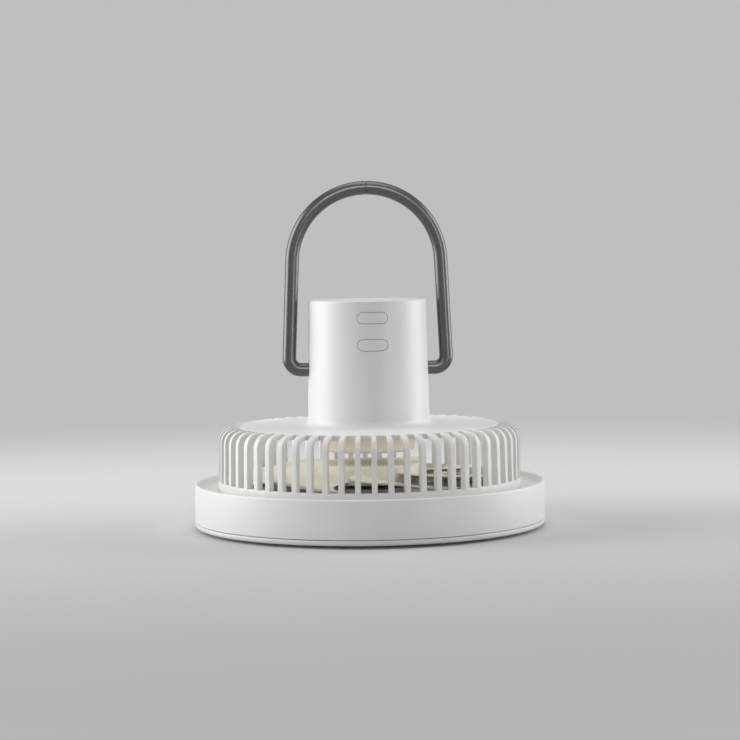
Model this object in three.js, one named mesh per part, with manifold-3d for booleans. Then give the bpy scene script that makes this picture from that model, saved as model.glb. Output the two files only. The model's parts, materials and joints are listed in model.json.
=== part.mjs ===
// A hanging electric insect killer: a slatted round drum on a low base ring, with a suction fan,
// a lamp pod and a small electrified grid inside, an upright cylinder that holds the cells and the
// boards, and a metal bail pivoted in the cylinder's sides.
// Millimetres, Z up, the feet stand on z = 0, the buttons face -Y.
import * as THREE from 'three';
import { mergeVertices } from 'three/addons/utils/BufferGeometryUtils.js';
import Module from 'manifold-3d';

const wasm = await Module();
wasm.setup();

// Clearances shared by all pieces
const seatGap = 0.3;
const screwGap = 0.3;
const overrun = 3;

// Facets round the large turned pieces and round the small ones
const ringFacets = 36;
const innerFacets = 28;
const bodyFacets = 28;
const hubFacets = 20;
const smallFacets = 8;
const wireFacets = 4;
const arcSteps = 3;
const edgeSteps = 2;
const shoulderSteps = 4;
const archSteps = 9;
const bendSteps = 4;
const clipSteps = 5;
const straightSteps = 1;
const mergeDistance = 1e-3;

// Catch tray and its feet
const footProud = 1.5;
const footRadius = 5;
const footCircle = 64;
const footCount = 4;
const footSocket = 0.9;
const trayFloor = 2;
const trayLip = 2.7;
const trayEdgeRound = 1.8;
const trayWall = 1.5;
const trayWallHeight = 6.8;
const lugCount = 4;
const lugDrop = 0.8;
const lugHeight = 2;
const lugWidth = 8;
const lugReach = 1.5;
const trayTurn = THREE.MathUtils.degToRad(15);
const ventWidth = 3.2;
const ventRows = [
  { count: 8, innerShare: 0.22, outerShare: 0.46 },
  { count: 12, innerShare: 0.52, outerShare: 0.76 },
];

// Base ring
const ringWall = 1.8;
const ledgeWidth = 10.3;
const ledgeDrop = 3.4;
const ledgeThickness = 2;
const throatWall = 1.8;
const throatLift = 2.5;
const shelfThickness = 2;
const shelfWidth = 7;
const shelfRoom = 2;
const ringRibCount = 8;
const ringRibThickness = 1.2;
const ringRibLift = 4;

// Killing grid
const gridFrameHeight = 4;
const gridFrameFloor = 1.6;
const gridFrameRim = 4.6;
const gridFrameWidth = 11.6;
const gridWireRadius = 0.6;
const gridWirePitch = 5;
const busWidth = 1.4;
const busInset = 1.1;
const wireStop = 2.4;
const busSteps = 6;

// Screws that clamp ring, grid frame and fan bracket to the housing
const baseScrewCount = 4;
const screwRadius = 1.25;
const screwHeadRadius = 2.3;
const screwHeadHeight = 1.6;
const screwBossRadius = 2.9;
const screwBossHeight = 3.5;
const screwInset = 2;
const screwTip = 0.5;

// Fan bracket and motor
const bracketThickness = 2.5;
const bracketRimWidth = 8;
const bracketPlateRadius = 23;
const strutWidth = 5;
const tubeWall = 1.4;
const bearingRadius = 3.4;
const bearingHeight = 3;
const shaftRadius = 1.5;
const shaftGap = 0.15;
const shaftTail = 2.2;
const shaftClipWidth = 0.8;
const shaftClipLap = 1.1;
const motorBoardThickness = 1.2;
const motorBoardInset = 3;
const statorHeight = 6.5;
const statorCoreThickness = 3;
const statorPoleCount = 6;
const statorArmWidth = 3;
const statorHeadThickness = 1.8;
const statorHeadSpan = THREE.MathUtils.degToRad(46);
const coilThickness = 1.3;
const airGap = 0.8;
const magnetThickness = 2.4;
const magnetHeight = 5;

// Impeller
const hubRadius = 26;
const hubWall = 1.6;
const hubRound = 1;
const hubSkirt = 9.6;
const hubRoom = 1.8;
const hubBossRadius = 3.6;
const hubBossHeight = 1.1;
const tipGap = 6;
const bladeCount = 7;
const bladeDrop = 4.1;
const bladeHeight = 4.2;
const bladeThickness = 1.3;
const bladeSweep = THREE.MathUtils.degToRad(16);
const bladeRootSpan = THREE.MathUtils.degToRad(44);
const bladeTipSpan = THREE.MathUtils.degToRad(38);
const bladeEdgeShare = 0.4;
const bladeCamberPower = 1.5;
const bladeRows = 2;
const bladeColumns = 4;

// Lamp
const lampGap = 6.4;
const lensDepth = 10.3;
const lensRadius = 23.6;
const lensRound = 2;
const lensWall = 1.6;
const lensFlange = 1.5;
const lensLap = 2;
const lensSpigotHeight = 3.7;
const ledBoardRadius = 21;
const ledBoardThickness = 1.6;
const ledCircle = 14;
const ledCount = 6;
const ledSize = 5;
const ledHeight = 1.6;
const lampScrewCount = 2;
const lampScrewCircle = 18.4;
const lampScrewRadius = 1;
const lampScrewHeadRadius = 1.8;
const lampScrewHeadHeight = 1.2;

// Housing: drum and slats
const drumRadius = 77.9;
const drumTaper = 0.45;
const drumStep = 1.3;
const slatCount = 60;
const slotWidth = 5.35;
const slatDepth = 3.5;
const slotReach = 11.5;
const shoulderRadius = 7;
const ceilingThickness = 2.5;
const sillRise = 1.5;
const bossCover = 0.1;

// Housing: cylinder
const bodyWall = 2.2;
const bodyTaper = 1;
const neckRound = 4;
const topRound = 0.8;
const ledRoom = 5.9;
const floorThickness = 2;
const wireHoleRadius = 6;
const capThickness = 1.9;
const capLedge = 0.96;
const capSpigotWall = 1.5;
const capRibRadius = 8;
const capRibHeight = 2.4;

// Cells and their holder
const cellRadius = 9.1;
const cellLength = 50;
const cellTipRadius = 3;
const cellTipHeight = 0.8;
const cellGap = 0.3;
const holderFloor = 2;
const holderCover = 1.5;
const holderMargin = 0.8;
const holderSpine = 3.2;

// Boards, switches and charging socket
const boardThickness = 1.2;
const boardRoom = 2.7;
const controlBoardHalfWidth = 14;
const controlBoardHeadroom = 0.8;
const chargeBoardHalfWidth = 7;
const chargeBoardHeight = 16;
const railLap = 1.4;
const railWall = 1.6;
const railLip = 1.1;
const switchSize = 6;
const switchHeight = 3.1;
const plungerRadius = 1.7;
const plungerHeight = 0.3;
const socketWidth = 9;
const socketHeight = 3.3;
const socketWall = 0.5;
const socketDepth = 5;
const socketSink = 0.6;
const socketLift = 8;
const tongueWidth = 6;
const tongueHeight = 0.8;

// Buttons
const buttonWidth = 15.3;
const buttonHeight = 5.7;
const buttonGap = 0.3;
const buttonTravel = 0.6;
const buttonSlack = 0.3;
const buttonFlange = 1.5;
const buttonFlangeThickness = 1.2;
const buttonDrop = 8.6;
const buttonPitch = 13.6;

// Bail and its pivots
const rodRadius = 3.5;
const rodFacets = 10;
const pivotDrop = 35.5;
const bailStandoff = 10.36;
const archInset = 2.45;
const archRise = 54.26;
const bendRadius = 6;
const crownGap = 0.3;
const dowelRadius = 1.6;
const dowelLength = 14;
const dowelRoom = 0.3;
const pivotBossRadius = 7;
const pivotBossLength = 4.2;
const bushWall = 1.2;
const bushDepth = 3.6;
const bushFlange = 1.4;
const bushFlangeThickness = 0.7;
const clipThickness = 0.7;
const clipGroove = 0.9;
const clipWidth = 2.3;
const clipSpan = THREE.MathUtils.degToRad(300);
const rodTail = 1.4;

// High-voltage module in the base ring's cavity
const moduleLength = 29;
const moduleDepth = 6.4;
const moduleHeight = 10.5;

// Levels, each worked out from the piece below it
const trayUnder = footProud;
const trayTop = trayUnder + trayFloor;
const lipTop = trayUnder + trayLip;
const ringBottom = lipTop + seatGap;
const trayWallTop = trayTop + trayWallHeight;
const shelfUnder = trayWallTop + shelfRoom;
const shelfTop = shelfUnder + shelfThickness;
const gridUnder = shelfTop + seatGap;
const gridFloorTop = gridUnder + gridFrameFloor;
const gridTop = gridUnder + gridFrameHeight;
const bracketUnder = gridTop + seatGap;
const bracketTop = bracketUnder + bracketThickness;
const bossUnder = bracketTop + seatGap;
const sillTop = bossUnder + screwBossHeight + bossCover;
const rimTop = sillTop - sillRise;
const ledgeTop = rimTop - ledgeDrop;
const ledgeUnder = ledgeTop - ledgeThickness;
const motorBoardUnder = bracketTop + seatGap;
const motorBoardTop = motorBoardUnder + motorBoardThickness;
const statorUnder = motorBoardTop + seatGap;
const statorTop = statorUnder + statorHeight;
const hubUnder = statorTop + hubRoom;
const hubTop = hubUnder + hubWall;
const lensUnder = hubTop + lampGap;
const lensTop = lensUnder + lensDepth;
const ceilingUnder = lensTop + seatGap;
const drumTop = ceilingUnder + ceilingThickness;
const floorUnder = ceilingUnder + ledRoom;
const floorTop = floorUnder + floorThickness;
const holderUnder = floorTop + seatGap;
const cellUnder = holderUnder + holderFloor + cellGap;
const cellTop = cellUnder + cellLength;
const holderCoverUnder = cellTop + cellGap;
const holderTop = holderCoverUnder + holderCover;
const capUnder = holderTop + seatGap + capRibHeight;
const bodyTop = capUnder + capThickness;
const pivotLevel = bodyTop - pivotDrop;
const upperButtonLevel = bodyTop - buttonDrop;
const lowerButtonLevel = upperButtonLevel - buttonPitch;
const socketLevel = floorTop + socketLift;
const capSpigotUnder = upperButtonLevel + buttonHeight / 2 + buttonFlange + seatGap;
const controlBoardTop = capSpigotUnder - controlBoardHeadroom;
const controlBoardHeight = controlBoardTop - floorTop - seatGap;

// Radii and distances from the axis, each worked out from what it holds
const cellOffset = cellRadius + cellGap / 2;
const boardInner = cellOffset + cellRadius + boardRoom;
const boardOuter = boardInner + boardThickness;
const plungerTop = boardOuter + switchHeight + plungerHeight;
const buttonBack = plungerTop + buttonTravel + buttonSlack;
const buttonFlangeOuter = buttonBack + buttonFlangeThickness;
const boreTopRadius = buttonFlangeOuter + seatGap;
const bodyTopRadius = boreTopRadius + bodyWall;
const bodyBaseRadius = bodyTopRadius + bodyTaper;
const drumInner = drumRadius - slatDepth;
const spigotRadius = drumRadius - drumStep;
const throatRadius = spigotRadius + seatGap;
const throatOuter = throatRadius + throatWall;
const shelfInner = throatRadius - shelfWidth;
const ringInner = drumRadius + ledgeWidth;
const ringRadius = ringInner + ringWall;
const trayWallOuter = throatRadius - seatGap;
const trayWallInner = trayWallOuter - trayWall;
const gridFrameOuter = drumInner - seatGap;
const gridRimInner = gridFrameOuter - gridFrameRim;
const gridFrameInner = gridFrameOuter - gridFrameWidth;
const busOuter = gridRimInner - busInset;
const busInner = busOuter - busWidth;
const wireEndRadius = busInner - wireStop;
const widestWire = (gridFrameInner + wireEndRadius) / 2;
const gridWireCount = 2 * Math.floor(widestWire / gridWirePitch + 1 / 2);
const baseScrewCircle = drumInner - screwInset;
const bladeTip = drumInner - tipGap;
const tubeOuter = bearingRadius + shaftGap + tubeWall;
const hubInner = hubRadius - hubWall;
const magnetOuter = hubInner - seatGap;
const magnetInner = magnetOuter - magnetThickness;
const statorRadius = magnetInner - airGap;

// Directions of the frame
const alongX = new THREE.Vector3(1, 0, 0);
const alongY = new THREE.Vector3(0, 1, 0);

const fullTurn = 2 * Math.PI;
const quarterTurn = Math.PI / 2;
const frontAngle = -quarterTurn;

// Outer radius of the tapered cylinder at a level
function bodyRadiusAt(level) {
  const share = (bodyTop - level) / (bodyTop - drumTop - neckRound);
  return bodyTopRadius + bodyTaper * share;
}

// Inner radius of the tapered cylinder at a level
function boreRadiusAt(level) {
  return bodyRadiusAt(level) - bodyWall;
}

// A closed geometry as a solid whose faces point out
function solidOf(geometry) {
  const bare = geometry.clone();
  bare.deleteAttribute('normal');
  bare.deleteAttribute('uv');
  const merged = mergeVertices(bare, mergeDistance);
  const corners = [];
  const index = merged.index.array;
  for (let i = 0; i < index.length; i += 3) {
    const [a, b, c] = [index[i], index[i + 1], index[i + 2]];
    if (a !== b && b !== c && c !== a) corners.push(a, b, c);
  }
  const vertProperties = merged.attributes.position.array;
  const made = new wasm.Manifold(
    new wasm.Mesh({ numProp: 3, vertProperties, triVerts: new Uint32Array(corners) }),
  );
  if (made.volume() >= 0) return made;
  const turned = new Uint32Array(corners);
  for (let i = 0; i < turned.length; i += 3) {
    [turned[i + 1], turned[i + 2]] = [turned[i + 2], turned[i + 1]];
  }
  return new wasm.Manifold(new wasm.Mesh({ numProp: 3, vertProperties, triVerts: turned }));
}

// A solid's faces as a geometry
function geometryOf(solid) {
  const mesh = solid.getMesh();
  const geometry = new THREE.BufferGeometry();
  geometry.setAttribute('position', new THREE.BufferAttribute(mesh.vertProperties, 3));
  geometry.setIndex(new THREE.BufferAttribute(mesh.triVerts, 1));
  geometry.computeVertexNormals();
  return geometry;
}

// A closed outline of [radius, level] pairs turned about Z, its first facet edge at the front
function revolve(outline, facets) {
  const points = outline.map(([radius, level]) => new THREE.Vector2(radius, level));
  points.push(points[0].clone());
  return solidOf(new THREE.LatheGeometry(points, facets).rotateX(quarterTurn));
}

// A disc, tube or ring about Z between two levels
function tube(innerRadius, outerRadius, lower, upper, facets) {
  const outline = [
    [innerRadius, lower],
    [outerRadius, lower],
    [outerRadius, upper],
    [innerRadius, upper],
  ];
  return revolve(outline, facets);
}

// A box between two corners, turned about Z
function block(low, high, angle = 0) {
  const size = high.map((value, i) => value - low[i]);
  const middle = high.map((value, i) => (value + low[i]) / 2);
  return solidOf(new THREE.BoxGeometry(...size).translate(...middle).rotateZ(angle));
}

// A round bar between two points
function bar(from, to, radius, facets = smallFacets) {
  const way = to.clone().sub(from);
  const geometry = new THREE.CylinderGeometry(radius, radius, way.length(), facets);
  const turn = new THREE.Quaternion().setFromUnitVectors(alongY, way.clone().normalize());
  const middle = from.clone().addScaledVector(way, 1 / 2);
  return solidOf(geometry.applyQuaternion(turn).translate(...middle));
}

// A round bar along Z at a place given by its circle and angle
function post(circle, angle, radius, lower, upper, facets = smallFacets) {
  const [x, y] = [circle * Math.cos(angle), circle * Math.sin(angle)];
  return bar(new THREE.Vector3(x, y, lower), new THREE.Vector3(x, y, upper), radius, facets);
}

// A flat outline raised from one level to another
function raise(shape, lower, upper, curveSegments = arcSteps) {
  const settings = { depth: upper - lower, bevelEnabled: false, curveSegments };
  return new THREE.ExtrudeGeometry(shape, settings).translate(0, 0, lower);
}

// A strip along an arc about the axis, centred on an angle
function arcShape(innerRadius, outerRadius, middleAngle, span) {
  const [start, end] = [middleAngle - span / 2, middleAngle + span / 2];
  const shape = new THREE.Shape();
  shape.absarc(0, 0, outerRadius, start, end, false);
  shape.absarc(0, 0, innerRadius, end, start, true);
  return shape;
}

// An outline with straight long sides and round ends, about its centre
function pillShape(width, height) {
  const [round, half] = [height / 2, (width - height) / 2];
  const shape = new THREE.Shape();
  shape.absarc(half, 0, round, -quarterTurn, quarterTurn, false);
  shape.absarc(-half, 0, round, quarterTurn, 3 * quarterTurn, false);
  return shape;
}

// A pill-shaped bar that runs along Y between two distances from the axis
function pillBar(width, height, level, from, to) {
  const geometry = raise(pillShape(width, height), 0, Math.abs(to - from));
  return solidOf(geometry.rotateX(quarterTurn).translate(0, Math.max(from, to), level));
}

// Evenly spaced angles about the axis
function anglesOf(count, first = 0) {
  return Array.from({ length: count }, (_, i) => first + (i * fullTurn) / count);
}

function join(solids) {
  return solids.reduce((sum, next) => sum.add(next));
}

function cut(solid, cutters) {
  return cutters.reduce((rest, cutter) => rest.subtract(cutter), solid);
}

// Points of a quarter round from one end to the other, about its own centre
function roundPoints(centre, radii, from, to, steps) {
  return Array.from({ length: steps + 1 }, (_, i) => {
    const angle = from + ((to - from) * i) / steps;
    return [centre[0] + radii[0] * Math.cos(angle), centre[1] + radii[1] * Math.sin(angle)];
  });
}

const baseScrewAngles = anglesOf(baseScrewCount, quarterTurn / 2);
const lampScrewAngles = anglesOf(lampScrewCount);
const footAngles = anglesOf(footCount, quarterTurn / 2);

// Housing: the drum with its shoulder and ceiling, round to the hole under the cylinder
function drumOutline() {
  const shoulderOuter = drumRadius - drumTaper;
  const centre = [shoulderOuter - shoulderRadius, drumTop - shoulderRadius];
  const innerRadii = [shoulderRadius - slatDepth, shoulderRadius - ceilingThickness];
  const hole = boreRadiusAt(floorUnder) + bodyWall / 2;
  return [
    [spigotRadius, gridUnder],
    [spigotRadius, ledgeTop + seatGap],
    [drumRadius, ledgeTop + seatGap],
    ...roundPoints(centre, [shoulderRadius, shoulderRadius], 0, quarterTurn, shoulderSteps),
    [hole, drumTop],
    [hole, ceilingUnder],
    ...roundPoints(centre, innerRadii, quarterTurn, 0, shoulderSteps / 2),
    [drumInner, gridUnder],
  ];
}

// The gaps between the slats, open from the sill up over the shoulder
function slotCutters() {
  const slotInner = drumRadius - slotReach;
  const past = drumRadius + overrun;
  const half = slotWidth / 2;
  return anglesOf(slatCount, frontAngle).map((angle) =>
    block([slotInner, -half, sillTop], [past, half, drumTop + overrun], angle),
  );
}

// Housing: the tapered cylinder with its neck, floor and rebated rim
function cylinderOutline() {
  const neckRadius = bodyBaseRadius + neckRound;
  const capSeat = boreTopRadius + capLedge;
  return [
    [neckRadius, drumTop - ceilingThickness / 2],
    ...roundPoints(
      [neckRadius, drumTop + neckRound],
      [neckRound, neckRound],
      3 * quarterTurn,
      2 * quarterTurn,
      arcSteps,
    ),
    ...roundPoints(
      [bodyTopRadius - topRound, bodyTop - topRound],
      [topRound, topRound],
      0,
      quarterTurn,
      edgeSteps,
    ),
    [capSeat, bodyTop],
    [capSeat, capUnder - seatGap],
    [boreTopRadius, capUnder - seatGap],
    [boreRadiusAt(floorTop), floorTop],
    [wireHoleRadius, floorTop],
    [wireHoleRadius, floorUnder],
    [boreRadiusAt(floorUnder), floorUnder],
    [boreRadiusAt(floorUnder), drumTop - ceilingThickness / 2],
  ];
}

// Two upright rails that hold a board's side edges; side is -1 at the front and 1 at the rear
function boardRails(side, halfWidth, height) {
  const inner = boardInner - railLip;
  const outer = halfWidth + railWall;
  const wallMiddle = boreRadiusAt(floorTop + height / 2) + bodyWall / 2;
  const reach = Math.sqrt(wallMiddle ** 2 - outer ** 2);
  const [front, back] = side > 0 ? [inner, reach] : [-reach, -inner];
  const rails = [-1, 1].map((hand) => {
    const ends = [hand * (halfWidth - railLap), hand * outer];
    return block([Math.min(...ends), front, floorUnder], [Math.max(...ends), back, floorTop + height]);
  });
  const slotHalf = halfWidth + seatGap;
  const slotEnds = [side * (boardInner - seatGap), side * (boardOuter + seatGap)];
  const slot = block(
    [-slotHalf, Math.min(...slotEnds), floorTop],
    [slotHalf, Math.max(...slotEnds), bodyTop],
  );
  return join(rails).subtract(slot);
}

// A boss inside the cylinder's wall that carries a pivot bush
function pivotBoss(hand) {
  const bore = boreRadiusAt(pivotLevel);
  const [from, to] = [bore - pivotBossLength, bore + bodyWall / 2];
  return bar(
    new THREE.Vector3(hand * from, 0, pivotLevel),
    new THREE.Vector3(hand * to, 0, pivotLevel),
    pivotBossRadius,
    rodFacets,
  );
}

// The rod's hole through the wall and the wider seat of the bush behind it
function pivotHoles(hand) {
  const inner = boreRadiusAt(pivotLevel) - pivotBossLength;
  const centre = (distance) => new THREE.Vector3(hand * distance, 0, pivotLevel);
  const past = bodyRadiusAt(pivotLevel) + overrun;
  const bushRadius = rodRadius + seatGap + bushWall;
  return [
    bar(centre(inner - overrun), centre(past), rodRadius + seatGap, rodFacets),
    bar(centre(inner - overrun), centre(inner + bushDepth + seatGap), bushRadius + seatGap, rodFacets),
  ];
}

function makeHousing() {
  const drum = cut(revolve(drumOutline(), slatCount), slotCutters());
  const cylinder = revolve(cylinderOutline(), bodyFacets);
  const bosses = baseScrewAngles.map((angle) =>
    post(baseScrewCircle, angle, screwBossRadius, bossUnder, bossUnder + screwBossHeight),
  );
  const rails = [
    boardRails(-1, controlBoardHalfWidth, controlBoardHeight),
    boardRails(1, chargeBoardHalfWidth, chargeBoardHeight),
  ];
  const pivots = [pivotBoss(-1), pivotBoss(1)];
  const buttonHoles = [upperButtonLevel, lowerButtonLevel].map((level) =>
    pillBar(
      buttonWidth + 2 * buttonGap,
      buttonHeight + 2 * buttonGap,
      level,
      -buttonBack,
      -bodyBaseRadius - overrun,
    ),
  );
  const screwHoles = baseScrewAngles.map((angle) =>
    post(
      baseScrewCircle,
      angle,
      screwRadius + screwGap,
      bossUnder - overrun,
      bossUnder + screwBossHeight - screwTip,
    ),
  );
  const lampHoles = lampScrewAngles.map((angle) =>
    post(lampScrewCircle, angle, lampScrewRadius + screwGap, floorUnder - overrun, floorTop + overrun),
  );
  const socketHole = pillBar(
    socketWidth + 2 * seatGap,
    socketHeight + 2 * seatGap,
    socketLevel,
    boardOuter,
    bodyBaseRadius + overrun,
  );
  return cut(join([drum, cylinder, ...bosses, ...rails, ...pivots]), [
    ...pivotHoles(-1),
    ...pivotHoles(1),
    ...buttonHoles,
    ...screwHoles,
    ...lampHoles,
    socketHole,
  ]);
}

// Lid let into the cylinder's rim, with a spigot and a rib that holds the cells down
function makeTopCap() {
  const radius = boreTopRadius + capLedge - seatGap;
  const spigotOuter = boreTopRadius - seatGap;
  const ribUnder = capUnder - capRibHeight;
  return revolve(
    [
      [0, bodyTop],
      [radius, bodyTop],
      [radius, capUnder],
      [spigotOuter, capUnder],
      [spigotOuter, capSpigotUnder],
      [spigotOuter - capSpigotWall, capSpigotUnder],
      [spigotOuter - capSpigotWall, capUnder],
      [capRibRadius, capUnder],
      [capRibRadius, ribUnder],
      [0, ribUnder],
    ],
    bodyFacets,
  );
}

// Outer ring with the ledge that the drum stands on, the throat and the shelf inside it
function makeBaseRing() {
  const throatUnder = trayTop + throatLift;
  const rimRound = ringWall / 2;
  const outline = [
    [ringRadius, ringBottom],
    ...roundPoints([ringInner + rimRound, rimTop - rimRound], [rimRound, rimRound], 0, Math.PI, edgeSteps),
    [ringInner, ledgeTop],
    [throatRadius, ledgeTop],
    [throatRadius, shelfTop],
    [shelfInner, shelfTop],
    [shelfInner, shelfUnder],
    [throatRadius, shelfUnder],
    [throatRadius, throatUnder],
    [throatOuter, throatUnder],
    [throatOuter, ledgeUnder],
    [ringInner, ledgeUnder],
    [ringInner, ringBottom],
  ];
  const throatMiddle = throatRadius + throatWall / 2;
  const wallMiddle = ringInner + ringWall / 2;
  const halfRib = ringRibThickness / 2;
  const ribs = anglesOf(ringRibCount, fullTurn / ringRibCount / 2).map((angle) =>
    block(
      [throatMiddle, -halfRib, trayTop + ringRibLift],
      [wallMiddle, halfRib, ledgeUnder + seatGap],
      angle,
    ),
  );
  const screwHoles = baseScrewAngles.map((angle) =>
    post(baseScrewCircle, angle, screwRadius + screwGap, shelfUnder - overrun, shelfTop + overrun),
  );
  return cut(join([revolve(outline, ringFacets), ...ribs]), [...screwHoles, ...bayonetSlots(throatUnder)]);
}

// L-shaped ways in the throat for the tray's lugs: an entry from below and a run round to the stop
function bayonetSlots(throatUnder) {
  const lugSpan = (lugWidth + 2 * seatGap) / throatRadius;
  const lugTop = trayWallTop - lugDrop;
  const [from, to] = [throatRadius - throatWall / 2, throatOuter + throatWall / 2];
  const runUnder = lugTop - lugHeight - seatGap;
  const runTop = lugTop + seatGap;
  const slotOf = (angle, span, lower) =>
    solidOf(raise(arcShape(from, to, angle, span), lower, runTop, straightSteps));
  return anglesOf(lugCount).flatMap((angle) => [
    slotOf(angle + trayTurn / 2, trayTurn + lugSpan, runUnder),
    slotOf(angle + trayTurn, lugSpan, throatUnder - overrun),
  ]);
}

// Bottom cover and catch tray in one: floor with vents, lip, upright wall and four bayonet lugs
function makeCatchTray() {
  const edge = ringRadius - trayEdgeRound;
  const outline = [
    [0, trayUnder],
    ...roundPoints(
      [edge, trayUnder + trayEdgeRound],
      [trayEdgeRound, trayEdgeRound],
      3 * quarterTurn,
      4 * quarterTurn,
      arcSteps,
    ),
    [ringRadius, lipTop],
    [ringInner, lipTop],
    [ringInner, trayTop],
    [trayWallOuter, trayTop],
    [trayWallOuter, trayWallTop],
    [trayWallInner, trayWallTop],
    [trayWallInner, trayTop],
    [0, trayTop],
  ];
  const lugTop = trayWallTop - lugDrop;
  const wallMiddle = trayWallOuter - trayWall / 2;
  const lugs = anglesOf(lugCount).map((angle) => {
    const shape = arcShape(wallMiddle, trayWallOuter + lugReach, angle, lugWidth / trayWallOuter);
    return solidOf(raise(shape, lugTop - lugHeight, lugTop, straightSteps));
  });
  const vents = ventRows.flatMap(({ count, innerShare, outerShare }) =>
    anglesOf(count, Math.PI / count).map((angle) =>
      block(
        [innerShare * trayWallInner, -ventWidth / 2, trayUnder - overrun],
        [outerShare * trayWallInner, ventWidth / 2, trayTop + overrun],
        angle,
      ),
    ),
  );
  const sockets = footAngles.map((angle) =>
    post(footCircle, angle, footRadius + seatGap, trayUnder - overrun, trayUnder + footSocket),
  );
  return cut(join([revolve(outline, ringFacets), ...lugs]), [...vents, ...sockets]);
}

function makeFoot(angle) {
  return post(footCircle, angle, footRadius, 0, footProud + footSocket - seatGap);
}

// Insulating ring that carries the wires on its floor, inside a rim that the screws pass
function makeGridFrame() {
  const outline = [
    [gridFrameInner, gridUnder],
    [gridFrameOuter, gridUnder],
    [gridFrameOuter, gridTop],
    [gridRimInner, gridTop],
    [gridRimInner, gridFloorTop],
    [gridFrameInner, gridFloorTop],
  ];
  const holes = baseScrewAngles.map((angle) =>
    post(baseScrewCircle, angle, screwRadius + screwGap, gridUnder - overrun, gridTop + overrun),
  );
  return cut(revolve(outline, innerFacets), holes);
}

// One pole of the grid: every second wire, joined by a bus strip along its own side
function makeGridWires(hand) {
  const wireLevel = gridFloorTop + seatGap + gridWireRadius;
  const middle = (gridWireCount - 1) / 2;
  const busMiddle = busInner + busWidth / 2;
  const allWires = Array.from({ length: gridWireCount }, (_, i) => i);
  const ownWires = allWires.filter((i) => (i % 2 === 0) === hand > 0);
  const offsets = ownWires.map((i) => (i - middle) * gridWirePitch);
  const wires = offsets.map((y) =>
    bar(
      new THREE.Vector3(hand * Math.sqrt(busMiddle ** 2 - y ** 2), y, wireLevel),
      new THREE.Vector3(-hand * Math.sqrt(wireEndRadius ** 2 - y ** 2), y, wireLevel),
      gridWireRadius,
      wireFacets,
    ),
  );
  const reach = Math.asin(Math.max(...offsets.map(Math.abs)) / busMiddle) + gridWireRadius / busMiddle;
  const shape = arcShape(busInner, busOuter, hand > 0 ? 0 : Math.PI, 2 * reach);
  const bus = solidOf(raise(shape, wireLevel - gridWireRadius, wireLevel + gridWireRadius, busSteps));
  return join([bus, ...wires]);
}

function makeBaseScrew(angle) {
  const headTop = shelfUnder - seatGap;
  const headUnder = headTop - screwHeadHeight;
  const tip = bossUnder + screwBossHeight - screwTip - seatGap;
  const head = post(baseScrewCircle, angle, screwHeadRadius, headUnder, headTop);
  return head.add(post(baseScrewCircle, angle, screwRadius, headUnder, tip));
}

// Block of potted electronics between two ribs of the base ring, under the ledge
function makeHighVoltageModule() {
  const near = throatOuter + seatGap;
  const top = ledgeUnder - seatGap;
  const half = moduleLength / 2;
  return block([-half, near, top - moduleHeight], [half, near + moduleDepth, top]);
}

// Fixed side of the fan: rim, struts, plate and the tube that holds the bearings
function makeFanBracket() {
  const rimInner = gridFrameOuter - bracketRimWidth;
  const rim = tube(rimInner, gridFrameOuter, bracketUnder, bracketTop, innerFacets);
  const plate = tube(0, bracketPlateRadius, bracketUnder, bracketTop, hubFacets);
  const half = strutWidth / 2;
  const struts = baseScrewAngles.map((angle) =>
    block([0, -half, bracketUnder], [rimInner + bracketRimWidth / 2, half, bracketTop], angle),
  );
  const upright = tube(0, tubeOuter, bracketUnder, statorTop, smallFacets);
  const bore = tube(0, bearingRadius + shaftGap, bracketUnder - overrun, statorTop + overrun, smallFacets);
  const holes = baseScrewAngles.map((angle) =>
    post(baseScrewCircle, angle, screwRadius + screwGap, bracketUnder - overrun, bracketTop + overrun),
  );
  return cut(join([rim, plate, ...struts, upright]), [bore, ...holes]);
}

function makeMotorBoard() {
  const radius = bracketPlateRadius - motorBoardInset;
  return tube(tubeOuter + seatGap, radius, motorBoardUnder, motorBoardTop, hubFacets);
}

// Level range of the laminated core, in the middle of the stator's height
const coreUnder = statorUnder + (statorHeight - statorCoreThickness) / 2;
const coreTop = coreUnder + statorCoreThickness;
const poleAngles = anglesOf(statorPoleCount);
const armInner = tubeOuter + seatGap + statorHeadThickness;
const armOuter = statorRadius - statorHeadThickness;

function makeStatorCore() {
  const hub = tube(tubeOuter + seatGap, armInner, coreUnder, coreTop, smallFacets);
  const half = statorArmWidth / 2;
  const sink = statorHeadThickness / 2;
  const poles = poleAngles.flatMap((angle) => [
    block([armInner - sink, -half, coreUnder], [armOuter + sink, half, coreTop], angle),
    solidOf(
      raise(arcShape(armOuter, statorRadius, angle, statorHeadSpan), coreUnder, coreTop, straightSteps),
    ),
  ]);
  return join([hub, ...poles]);
}

// One winding round each arm of the core, joined by the ring that carries their wires
function makeStatorWinding() {
  const inside = statorArmWidth / 2 + seatGap;
  const outside = inside + coilThickness;
  const [from, to] = [armInner + 2 * coilThickness, armOuter - coilThickness];
  const lower = coreUnder - seatGap;
  const upper = coreTop + seatGap;
  const windings = poleAngles.map((angle) =>
    block([from, -outside, lower - coilThickness], [to, outside, upper + coilThickness], angle),
  );
  const arms = poleAngles.map((angle) =>
    block([from - overrun, -inside, lower], [to + overrun, inside, upper], angle),
  );
  const wireRing = tube(from, from + coilThickness, lower - coilThickness, lower, smallFacets);
  return cut(join(windings), arms).add(wireRing);
}

// Two sleeves in the tube, one at each end
function makeBearing(lower) {
  return tube(shaftRadius + shaftGap, bearingRadius, lower, lower + bearingHeight, smallFacets);
}

function makeMotorShaft() {
  const top = hubTop - hubWall / 2 - seatGap;
  return bar(
    new THREE.Vector3(0, 0, bracketUnder - shaftTail),
    new THREE.Vector3(0, 0, top),
    shaftRadius,
  );
}

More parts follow.
